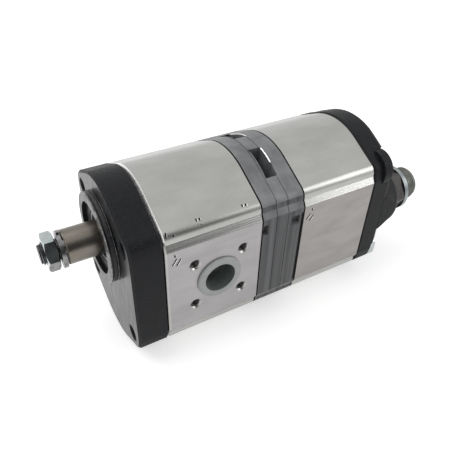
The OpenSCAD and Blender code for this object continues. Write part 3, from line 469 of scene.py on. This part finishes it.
PILOT_RADIUS = 0.0250
PILOT_EDGE_IN = 0.0244
PILOT_TOUCH = 0.0005
GROOVE_REACH = (-0.0038, -0.0004)
GROOVE_EDGE = 0.00012
MACHINED_REACH = 0.001
SQUARE_ON = 0.9
TILTED = 0.3
flange_mouths = tapped_holes("flange_bolts")
groove_edges = {round(corner.co.x, 5) for corner in nodes_of["front_cover"].data.vertices
                if abs(math.hypot(corner.co.y, corner.co.z) - PILOT_RADIUS) < RIM_TOUCH and
                GROOVE_REACH[0] < corner.co.x < GROOVE_REACH[1]}
groove_rims = [(0, Vector((edge_x, 0.0, 0.0)), PILOT_RADIUS) for edge_x in sorted(groove_edges)]
front_cover = dressed_copy("front_cover", "front_cover_casting", "housing",
                           ((flange_mouths, RIM_CHAMFER), (groove_rims, GROOVE_EDGE)))
smooth_over(front_cover)
front_cover.data.materials.append(cast_black)
finish_faces(front_cover, turned_black,
             lambda middle, normal: normal.x < -SQUARE_ON and middle.x < MACHINED_REACH)
finish_faces(front_cover, pilot_black,
             lambda middle, normal: middle.x < 0.0 and abs(normal.x) < SQUARE_ON and
             abs(math.hypot(middle.y, middle.z) - PILOT_RADIUS) < PILOT_TOUCH)
finish_faces(front_cover, bare_edge,
             lambda middle, normal: middle.x < 0.0 and TILTED < abs(normal.x) < SQUARE_ON and
             math.hypot(middle.y, middle.z) > PILOT_EDGE_IN)
tapped_threads("carrier_screw_thread", flange_mouths, 1, M10_PITCH, turned_black)

rear_cover = dressed_copy("rear_cover", "rear_cover_casting", "housing")
smooth_over(rear_cover)
rear_cover.data.materials.append(cast_black)


# Gear bodies
# Each body is sawn from an extruded aluminium profile: the crown and shoulders keep fine
# lengthwise brush lines and the port face is milled flat. Painted highlight brightens the
# upper edge of the front body's sawn front end and a sloping band on the shoulders;
# painted shade darkens the rear port face, the inner walls and the tapped threads, and
# painted shadow lies on the chamfers at the flange.
def brushed(name, base_low, base_high, rough_low, rough_high):
    """Bare aluminium with fine lines along the pump and a faint cloud in its brightness."""
    finish, tree, shader = new_finish(name, base_high, 1.0, rough_high)
    lines = grain(tree, 20.0, 5.0, (1.0, 90.0, 90.0), 0.6)
    cloud = grain(tree, 35.0, 3.0, (1.0, 2.5, 2.5))
    tree.links.new(tint(tree, cloud, base_low, base_high), shader.inputs["Base Color"])
    tree.links.new(spread(tree, lines, rough_low, rough_high), shader.inputs["Roughness"])
    relief(tree, shader, lines, 0.00005, 0.22)
    return finish


crown_brushed = brushed("crown_brushed", (0.37, 0.37, 0.355), (0.42, 0.42, 0.405), 0.26, 0.36)
# Painted highlight: a much brighter copy of the crown's aluminium for a sloping band on the
# shoulders.
slope_painted_highlight = brushed("slope_painted_highlight", (0.86, 0.86, 0.84), (0.93, 0.93, 0.90), 0.18, 0.28)
port_milled = brushed("port_milled", (0.335, 0.32, 0.325), (0.38, 0.365, 0.37), 0.36, 0.48)
# Painted shade: a darker copy of the milled finish for the rear body's port face.
rear_milled_painted_shade = brushed("rear_port_milled_painted_shade", (0.27, 0.255, 0.245), (0.32, 0.305, 0.295), 0.36, 0.48)
# Painted highlight: a much brighter copy of the aluminium, for light caught on edges, on the lips
# of the marks and on the flange windows' rear edge.
edge_painted_highlight = brushed("edge_painted_highlight", (0.80, 0.80, 0.79), (0.88, 0.88, 0.87), 0.22, 0.32)
# Painted shade: near-black aluminium for the walls inside the bodies and the tapped threads.
bore_wall_painted_shade = brushed("bore_wall_painted_shade", (0.05, 0.05, 0.05), (0.08, 0.08, 0.08), 0.35, 0.5)
# Painted shadow: near black for the chamfers and faces where parts meet and for the dents of the
# marks.
joint_dark, tree, shader = new_finish("joint_shadow", (0.012, 0.012, 0.013), 0.0, 0.7)
shader.inputs["Specular IOR Level"].default_value = 0.1
joint_shadow_grain = grain(tree, 700.0, 2.0)
tree.links.new(tint(tree, joint_shadow_grain, (0.008, 0.008, 0.009), (0.02, 0.02, 0.021)),
               shader.inputs["Base Color"])
BRIGHT_EDGE_ABOVE = 0.016
BODY_SMOOTH_ANGLE = 14.0
SLOPE_TILT = (0.40, 0.60)
SLOPE_OUT = 0.030
LENGTHWISE = 0.1
PORT_SQUARE_ON = 0.99
PORT_TOUCH = 0.0002
JOINT_GAP = 0.001
flange_low, flange_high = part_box("middle_flange")

for node, name, port_finish, ports in (
    ("front_body", "front_gear_body", port_milled,
     (("front_outlet_bolts", 1, M6_PITCH), ("front_inlet_bolts", -1, M8_PITCH))),
    ("rear_body", "rear_gear_body", rear_milled_painted_shade, (("rear_inlet_bolts", -1, M6_PITCH),)),
):
    half_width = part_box(node)[1][1]
    body_mouths = [mouth for port, inward, pitch in ports for mouth in tapped_holes(port)]
    gear_body = dressed_copy(node, name, "housing",
                             ((body_mouths, RIM_CHAMFER),))
    smooth_over(gear_body, BODY_SMOOTH_ANGLE)
    gear_body.data.materials.append(crown_brushed)
    finish_faces(gear_body, port_finish,
                 lambda middle, normal: abs(normal.y) > PORT_SQUARE_ON and
                 abs(middle.y) > half_width - PORT_TOUCH)
    # A sloping band on the shoulders gets painted highlight.
    finish_faces(gear_body, slope_painted_highlight,
                 lambda middle, normal: SLOPE_TILT[0] < normal.z < SLOPE_TILT[1] and
                 abs(normal.x) < LENGTHWISE and middle.z < BRIGHT_EDGE_ABOVE and
                 abs(middle.y) > SLOPE_OUT)
    # The upper faces of the front body's sawn front end get painted highlight.
    finish_faces(gear_body, edge_painted_highlight,
                 lambda middle, normal: normal.x < -TILTED and middle.x < flange_low[0] and
                 middle.z > BRIGHT_EDGE_ABOVE)
    # The chamfers beside the flange get painted shadow.
    finish_faces(gear_body, joint_dark,
                 lambda middle, normal: abs(normal.x) > TILTED and
                 flange_low[0] - JOINT_GAP < middle.x < flange_high[0] + JOINT_GAP)
    # The walls inside the body get painted shade.
    finish_faces(gear_body, bore_wall_painted_shade,
                 lambda middle, normal: abs(middle.y) < half_width - JOINT_GAP and
                 normal.y * middle.y < 0.0)
    for port, inward, pitch in ports:
        tapped_threads(port + "_thread", tapped_holes(port), inward, pitch, bore_wall_painted_shade)


# Pressed marks
# Short strokes and dots are stamped on both aluminium bodies. Each is drawn as a low bar of
# painted shade for the dent, with a narrow bar of painted highlight beside it for the lip, at
# a place taken from pixels of the photograph.
MARK_STROKES = (
    ((198.0, 224.7), (196.0, 219.3)), ((201.1, 224.0), (199.4, 218.6)),
    ((243.9, 211.4), (242.1, 205.0)), ((247.4, 210.3), (245.7, 204.3)),
    ((172.9, 265.4), (176.4, 259.7)), ((177.1, 265.4), (180.7, 259.3)),
    ((175.2, 257.0), (174.8, 255.8)), ((165.6, 237.6), (165.5, 233.8)),
    ((173.6, 236.2), (173.5, 235.2)), ((306.7, 219.2), (310.3, 214.2)),
    ((309.7, 220.0), (313.3, 215.0)), ((312.9, 209.8), (312.7, 208.6)),
)
MARK_WIDTH = 0.0008
MARK_LIP_WIDTH = 0.0003
MARK_HEIGHT = 0.0002
MARK_EDGE_SHARE = 0.4
bpy.context.view_layer.update()
photo_origin = camera.matrix_world.translation


def on_body(pixel):
    """The point and the normal of a gear body that a pixel of the photograph shows."""
    centre = PHOTO_SIZE / 2.0
    ray = (away * PHOTO_FOCAL_PIXELS + to_right * (pixel[0] - centre)
           - to_top * (pixel[1] - centre)).normalized()
    nearest = None
    for name in ("front_gear_body", "rear_gear_body"):
        struck, place, normal, face = bpy.data.objects[name].ray_cast(photo_origin, ray)
        depth = (place - photo_origin).length
        if struck and (nearest is None or depth < nearest[0]):
            nearest = (depth, place, normal)
    return nearest[1:]


def pressed_bar(name, start, end, normal, width, shift, finish):
    """A low bar along a stroke, pushed sideways by a shift and set into the surface."""
    along = end - start
    sideways = along.cross(normal).normalized()
    middle = (start + end) / 2.0 + sideways * shift
    turn = Matrix((along.normalized(), -sideways, normal)).transposed().to_4x4()
    bpy.ops.object.select_all(action="DESELECT")
    bpy.ops.mesh.primitive_cube_add(size=1.0)
    bar = bpy.context.object
    bar.name = name
    bar.matrix_world = (Matrix.Translation(middle) @ turn @
                        Matrix.Diagonal((along.length + width, width, MARK_HEIGHT, 1.0)))
    bpy.ops.object.transform_apply(location=True, rotation=True, scale=True)
    bpy.ops.object.mode_set(mode="EDIT")
    bpy.ops.mesh.select_all(action="SELECT")
    bpy.ops.mesh.bevel(offset=MARK_HEIGHT * MARK_EDGE_SHARE, segments=1, affect="EDGES")
    bpy.ops.mesh.normals_make_consistent(inside=False)
    bpy.ops.mesh.select_all(action="DESELECT")
    bpy.ops.object.mode_set(mode="OBJECT")
    bar.data.materials.append(finish)
    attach(bar, "housing")


for number, (from_pixel, to_pixel) in enumerate(MARK_STROKES):
    stroke_start, stroke_normal = on_body(from_pixel)
    stroke_end = on_body(to_pixel)[0]
    pressed_bar("pressed_dent_painted_shade_" + str(number), stroke_start, stroke_end, stroke_normal,
                MARK_WIDTH, 0.0, joint_dark)
    pressed_bar("pressed_lip_painted_highlight_" + str(number), stroke_start, stroke_end, stroke_normal,
                MARK_LIP_WIDTH, (MARK_WIDTH + MARK_LIP_WIDTH) / 2.0, edge_painted_highlight)


# Vented flange
# The flange between the stages is a raw die casting: dull grey, cloudy, with streaks down
# its port sides, round parting grooves, and windows above and below. Painted shade darkens its
# port sides, painted highlight brightens the windows' rear edge, and painted shadow lies on
# the faces at its joints.
cast_grey, tree, shader = new_finish("raw_die_casting", (0.19, 0.193, 0.197), 0.2, 0.5)
cloud = grain(tree, 90.0, 5.0)
streaks = grain(tree, 260.0, 3.0, (1.0, 1.0, 0.04))
tree.links.new(tint(tree, cloud, (0.13, 0.133, 0.138), (0.21, 0.213, 0.218)),
               shader.inputs["Base Color"])
tree.links.new(spread(tree, streaks, 0.42, 0.6), shader.inputs["Roughness"])
relief(tree, shader, streaks, 0.0002, 0.3)
relief(tree, shader, cloud, 0.0004, 0.25)
# Painted shade: a darker copy of the casting for its port sides.
cast_side_painted_shade, tree, shader = new_finish("raw_die_casting_side_painted_shade", (0.07, 0.071, 0.073), 0.1, 0.5)
side_streaks = grain(tree, 320.0, 4.0, (1.0, 1.0, 0.02))
tree.links.new(tint(tree, side_streaks, (0.035, 0.036, 0.038), (0.105, 0.107, 0.11)),
               shader.inputs["Base Color"])
relief(tree, shader, side_streaks, 0.0002, 0.3)
middle_flange = dressed_copy("middle_flange", "vented_flange", "housing")
PUMP_MIDDLE_Z = -0.01725
PARTING_LINES = (0.0085, 0.0158)
PARTING_WIDTH = 0.00045
PARTING_DEPTH = 0.00035
PARTING_ABOVE = 0.040
FLANGE_SIDE_OUT = 0.030
for offset in PARTING_LINES:
    line_x = flange_low[0] + offset
    for cut_x in (line_x, line_x + PARTING_WIDTH):
        bpy.ops.object.mode_set(mode="EDIT")
        bpy.ops.mesh.select_all(action="SELECT")
        bpy.ops.mesh.bisect(plane_co=(cut_x, 0.0, 0.0), plane_no=(1.0, 0.0, 0.0))
        bpy.ops.mesh.select_all(action="DESELECT")
        bpy.ops.object.mode_set(mode="OBJECT")
    for face in middle_flange.data.polygons:
        out = Vector((0.0, face.center.y, face.center.z - PUMP_MIDDLE_Z))
        between = line_x < face.center.x < line_x + PARTING_WIDTH
        outside = abs(face.center.y) > FLANGE_SIDE_OUT or out.z > PARTING_ABOVE
        face.select = between and outside and face.normal.dot(out) > 0.0
    bpy.ops.object.mode_set(mode="EDIT")
    bpy.ops.mesh.extrude_region_shrink_fatten(
        TRANSFORM_OT_shrink_fatten={"value": -PARTING_DEPTH})
    bpy.ops.mesh.select_all(action="DESELECT")
    bpy.ops.object.mode_set(mode="OBJECT")

WINDOW_REAR_X = 0.09035
WINDOW_EDGE = 0.00035
WINDOW_RIM_OUT = 0.038
JOINT_REACH = 0.0006
pick_edges(middle_flange,
           lambda corner: abs(corner.x - WINDOW_REAR_X) < RIM_TOUCH and
           abs(corner.z - PUMP_MIDDLE_Z) > WINDOW_RIM_OUT)
bpy.ops.mesh.bevel(offset=WINDOW_EDGE, segments=1, affect="EDGES")
bpy.ops.mesh.select_all(action="DESELECT")
bpy.ops.object.mode_set(mode="OBJECT")
smooth_over(middle_flange, BODY_SMOOTH_ANGLE)
middle_flange.data.materials.append(cast_grey)
finish_faces(middle_flange, cast_side_painted_shade,
             lambda middle, normal: abs(normal.y) > SQUARE_ON and abs(middle.y) > FLANGE_SIDE_OUT)
# The bevels on the windows' rear edge get painted highlight.
finish_faces(middle_flange, edge_painted_highlight,
             lambda middle, normal: normal.x < -TILTED and abs(normal.z) > TILTED and
             abs(middle.x - WINDOW_REAR_X) < WINDOW_EDGE)
finish_faces(middle_flange, joint_dark,
             lambda middle, normal: abs(normal.x) > TILTED and
             (middle.x < flange_low[0] + JOINT_REACH or middle.x > flange_high[0] - JOINT_REACH))


# Shaft end
# The steel drive shaft's taper is covered by a brown transport sleeve, held by a split spring
# washer and a zinc-plated hexagon nut on the rolled thread, which is darkened by grease.
ground_steel = mottled("ground_steel", (0.55, 0.56, 0.58), 1.0, 0.25,
                       (80.0, 4.0, (12.0, 1.0, 1.0)),
                       (0.48, 0.49, 0.50), (0.60, 0.61, 0.63), (0.18, 0.32))
thread_dark = mottled("dark_rolled_thread", (0.06, 0.06, 0.065), 0.9, 0.35, (300.0, 3.0),
                      (0.04, 0.04, 0.045), (0.12, 0.12, 0.125))
# Grey of the spring washer, also used as painted shade on the nut's downward faces.
washer_grey_and_nut_painted_shade = mottled("washer_grey_and_nut_painted_shade", (0.20, 0.20, 0.20), 1.0, 0.3, (260.0, 3.0),
                      (0.14, 0.14, 0.14), (0.26, 0.26, 0.255))
zinc = mottled("zinc_plate", (0.45, 0.49, 0.49), 1.0, 0.18, (160.0, 3.0),
               (0.40, 0.44, 0.44), (0.50, 0.54, 0.54), (0.12, 0.22))
sleeve_brown = mottled("sleeve_brown", (0.20, 0.18, 0.155), 0.9, 0.3,
                       (60.0, 3.0, (1.0, 1.5, 1.5)),
                       (0.175, 0.158, 0.136), (0.215, 0.195, 0.17), (0.26, 0.34))
sleeve_edge = mottled("sleeve_edge", (0.45, 0.40, 0.33), 0.6, 0.4, (400.0, 3.0),
                      (0.36, 0.32, 0.26), (0.52, 0.47, 0.39))

SHAFT_THREAD_CORE = 0.0052
SHAFT_THREAD_CREST = 0.00598
SHAFT_THREAD_PITCH = 0.0015
SHAFT_THREAD_START = -0.0222
SHAFT_THREAD_LEAD_SHARE = 0.55
SHAFT_THREAD_STEPS = 40
SHAFT_THREAD_SCALE = 0.868
SHAFT_AXIS = (0.0, 0.0, 0.0)
RIDGE_SINK = 0.0001
SLEEVE_END_ON = 0.95


def draw_in(piece, wanted, centre, factor):
    """Scales the vertices that pass a test towards a shaft's axis."""
    bpy.ops.object.select_all(action="DESELECT")
    piece.select_set(True)
    bpy.context.view_layer.objects.active = piece
    bpy.ops.object.mode_set(mode="EDIT")
    bpy.ops.mesh.select_mode(type="VERT")
    bpy.ops.mesh.select_all(action="DESELECT")
    bpy.ops.object.mode_set(mode="OBJECT")
    for corner in piece.data.vertices:
        corner.select = wanted(corner.co)
    bpy.ops.object.mode_set(mode="EDIT")
    bpy.ops.transform.resize(value=(1.0, factor, factor), center_override=centre)
    bpy.ops.mesh.select_all(action="DESELECT")
    bpy.ops.object.mode_set(mode="OBJECT")


def on_shaft_thread(place):
    """Whether a place lies on the outside of the shaft's threaded end."""
    return place.x < SHAFT_THREAD_START and math.hypot(place.y, place.z) > SHAFT_THREAD_CORE


drive_shaft = dressed_copy("front_drive_gear", "threaded_drive_shaft",
                           "drive_train")
shaft_end_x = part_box("front_drive_gear")[0][0]
draw_in(drive_shaft, on_shaft_thread, SHAFT_AXIS, SHAFT_THREAD_SCALE)
smooth_over(drive_shaft)
drive_shaft.data.materials.append(ground_steel)
finish_faces(drive_shaft, thread_dark, lambda middle, normal: middle.x < SHAFT_THREAD_START)
shaft_thread_turns = int((SHAFT_THREAD_START - shaft_end_x) / SHAFT_THREAD_PITCH) - 1
thread_ridge("shaft_thread", "X",
             (shaft_end_x + SHAFT_THREAD_PITCH * SHAFT_THREAD_LEAD_SHARE, *SHAFT_AXIS[1:]),
             SHAFT_THREAD_CORE - RIDGE_SINK, SHAFT_THREAD_CREST, SHAFT_THREAD_PITCH,
             shaft_thread_turns, SHAFT_THREAD_STEPS, thread_dark, "drive_train")

shaft_nut = dressed_copy("shaft_nut", "zinc_shaft_nut", "drive_train")
smooth_over(shaft_nut)
shaft_nut.data.materials.append(zinc)
# Painted shade: the nut's downward faces take the darker washer grey.
finish_faces(shaft_nut, washer_grey_and_nut_painted_shade, lambda middle, normal: normal.z < -TILTED)

shaft_sleeve = dressed_copy("shaft_sleeve", "brown_shaft_sleeve",
                            "drive_train")
smooth_over(shaft_sleeve)
shaft_sleeve.data.materials.append(sleeve_brown)
finish_faces(shaft_sleeve, sleeve_edge,
             lambda middle, normal: TILTED < abs(normal.x) < SLEEVE_END_ON)

spring_washer = dressed_copy("spring_washer", "split_spring_washer",
                             "drive_train")
smooth_over(spring_washer)
spring_washer.data.materials.append(washer_grey_and_nut_painted_shade)


# Outlet fitting and bolts
# The screwed fitting has a black-oxide hexagon, a plain collar and an open threaded end;
# the upper bolt heads are painted with the cover and the lower ones are bare zinc.
FITTING_AXIS = (0.0, -0.020, PUMP_MIDDLE_Z)
FITTING_HEX_END = 0.1893
FITTING_COLLAR_END = 0.1927
FITTING_THREAD_START = 0.1932
FITTING_THREAD_CORE = 0.0101
FITTING_THREAD_CREST = 0.01078
FITTING_PITCH = 0.0015
FITTING_LEAD_SHARE = 0.4
FITTING_THREAD_STEPS = 48
FITTING_THREAD_SCALE = 0.935
fitting_black = mottled("black_oxide", (0.05, 0.047, 0.044), 0.7, 0.35, (220.0, 4.0),
                        (0.035, 0.033, 0.031), (0.065, 0.060, 0.056), (0.3, 0.44))
fitting_grey = mottled("fitting_thread_grey", (0.15, 0.155, 0.14), 0.9, 0.42, (200.0, 3.0),
                       (0.12, 0.125, 0.11), (0.18, 0.185, 0.17), (0.36, 0.48))
collar_blue = mottled("collar_blue_grey", (0.26, 0.29, 0.30), 0.5, 0.35, (120.0, 3.0),
                      (0.22, 0.25, 0.26), (0.31, 0.335, 0.34))


def on_fitting_thread(place):
    """Whether a place lies on the outside of the fitting's threaded end."""
    off_axis = math.hypot(place.y - FITTING_AXIS[1], place.z - FITTING_AXIS[2])
    return place.x > FITTING_THREAD_START and off_axis > FITTING_THREAD_CORE


outlet_fitting = dressed_copy("outlet_fitting", "screwed_outlet_fitting",
                              "housing")
fitting_end_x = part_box("outlet_fitting")[1][0]
draw_in(outlet_fitting, on_fitting_thread, FITTING_AXIS, FITTING_THREAD_SCALE)
smooth_over(outlet_fitting)
outlet_fitting.data.materials.append(fitting_grey)
finish_faces(outlet_fitting, fitting_black,
             lambda middle, normal: middle.x < FITTING_HEX_END)
finish_faces(outlet_fitting, collar_blue,
             lambda middle, normal: FITTING_HEX_END < middle.x < FITTING_COLLAR_END)
fitting_thread_turns = int((fitting_end_x - FITTING_THREAD_START) / FITTING_PITCH) - 1
thread_ridge("fitting_thread", "X",
             (FITTING_THREAD_START + FITTING_PITCH * FITTING_LEAD_SHARE, *FITTING_AXIS[1:]),
             FITTING_THREAD_CORE - RIDGE_SINK, FITTING_THREAD_CREST, FITTING_PITCH,
             fitting_thread_turns, FITTING_THREAD_STEPS, fitting_grey, "housing")

through_bolts = dressed_copy("through_bolts", "long_through_bolts", "housing")
smooth_over(through_bolts)
through_bolts.data.materials.append(cast_black)
finish_faces(through_bolts, zinc, lambda middle, normal: middle.z < FITTING_AXIS[2])

# A raised round seat, taken from the cover's outline in the photograph, lies under the near
# upper head.
HEAD_SEAT_RADIUS = 0.0113
HEAD_SEAT_START = 0.1570
HEAD_SEAT_END = 0.1632
HEAD_SEAT_EDGE = 0.0008
HEAD_SEAT_AXIS = (-0.030, 0.01275)
HEAD_SEAT_STEPS = 64
HEAD_SEAT_SMOOTH_ANGLE = 40.0
bpy.ops.object.select_all(action="DESELECT")
bpy.ops.mesh.primitive_cylinder_add(
    vertices=HEAD_SEAT_STEPS, radius=HEAD_SEAT_RADIUS, depth=HEAD_SEAT_END - HEAD_SEAT_START,
    location=((HEAD_SEAT_START + HEAD_SEAT_END) / 2.0, *HEAD_SEAT_AXIS),
    rotation=(0.0, math.pi / 2.0, 0.0))
head_seat = bpy.context.object
head_seat.name = "cast_head_seat"
bpy.ops.object.transform_apply(location=True, rotation=True, scale=True)
pick_edges(head_seat, lambda corner: corner.x > HEAD_SEAT_END - RIM_TOUCH)
bpy.ops.mesh.bevel(offset=HEAD_SEAT_EDGE, segments=3, affect="EDGES")
bpy.ops.mesh.select_all(action="DESELECT")
bpy.ops.object.mode_set(mode="OBJECT")
smooth_over(head_seat, HEAD_SEAT_SMOOTH_ANGLE)
head_seat.data.materials.append(cast_black)
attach(head_seat, "housing")


# Transport plugs
# Each port is closed by a soft moulded plug: a cup that sits in the bore, with a collar on
# the port face, grey outside, with painted shade darkening the inside of the cup.
plug_grey = mottled("plug_grey", (0.34, 0.355, 0.35), 0.0, 0.38, (110.0, 3.0),
                    (0.31, 0.325, 0.32), (0.37, 0.385, 0.38), (0.36, 0.5))
# Painted shade: a darker grey for the inside of the cup.
plug_inside_painted_shade = mottled("plug_inside_painted_shade", (0.13, 0.15, 0.14), 0.0, 0.35, (90.0, 3.0),
                      (0.10, 0.115, 0.11), (0.16, 0.18, 0.17))
PLUG_FACE = 0.0400
for node, name, body in (
    ("front_outlet_plug", "front_outlet_cup", "front_outlet_cap"),
    ("front_inlet_plug", "front_inlet_cup", "front_inlet_cap"),
    ("rear_inlet_plug", "rear_inlet_cup", "rear_inlet_cap"),
):
    plug = dressed_copy(node, name, body)
    smooth_over(plug)
    plug.data.materials.append(plug_grey)
    finish_faces(plug, plug_inside_painted_shade, lambda middle, normal: abs(middle.y) < PLUG_FACE)


# Inner pieces
# Gears, blocks, bushes, dowels and seals sit inside the housing, made of steel, bronze,
# aluminium and rubber: each keeps its CAD mesh and gets the finish of its own material.
rubber = mottled("seal_rubber", (0.02, 0.02, 0.022), 0.0, 0.45, (400.0, 3.0),
                 (0.014, 0.014, 0.016), (0.035, 0.035, 0.038), (0.38, 0.55))
dark_steel = mottled("dark_steel", (0.12, 0.125, 0.13), 0.9, 0.4, (150.0, 4.0),
                     (0.09, 0.095, 0.10), (0.20, 0.205, 0.21), (0.3, 0.5))
bronze = mottled("bush_bronze", (0.55, 0.38, 0.20), 1.0, 0.35, (200.0, 3.0),
                 (0.48, 0.33, 0.17), (0.60, 0.43, 0.24))
block_grey = mottled("block_aluminium", (0.62, 0.62, 0.62), 1.0, 0.35, (160.0, 3.0),
                     (0.56, 0.56, 0.56), (0.66, 0.66, 0.66))
backing = mottled("backing_plastic", (0.80, 0.78, 0.72), 0.0, 0.5, (200.0, 3.0),
                  (0.74, 0.72, 0.66), (0.82, 0.80, 0.75))

finish_of_slot = {
    "shaft_steel": ground_steel,
    "dark_steel": dark_steel,
    "zinc_steel": zinc,
    "sleeve_plastic": sleeve_brown,
    "black_cover": cast_black,
    "seal_rubber": rubber,
    "brushed_body": crown_brushed,
    "block_aluminium": block_grey,
    "bush_bronze": bronze,
    "backup_plastic": backing,
    "cast_flange": cast_grey,
    "plug_plastic": plug_grey,
}
for subpart in frame["record"]["subparts"]:
    cad_node = nodes_of[subpart["node"]]
    for material_slot in cad_node.material_slots:
        material_slot.material = finish_of_slot[subpart["material_slot"]]
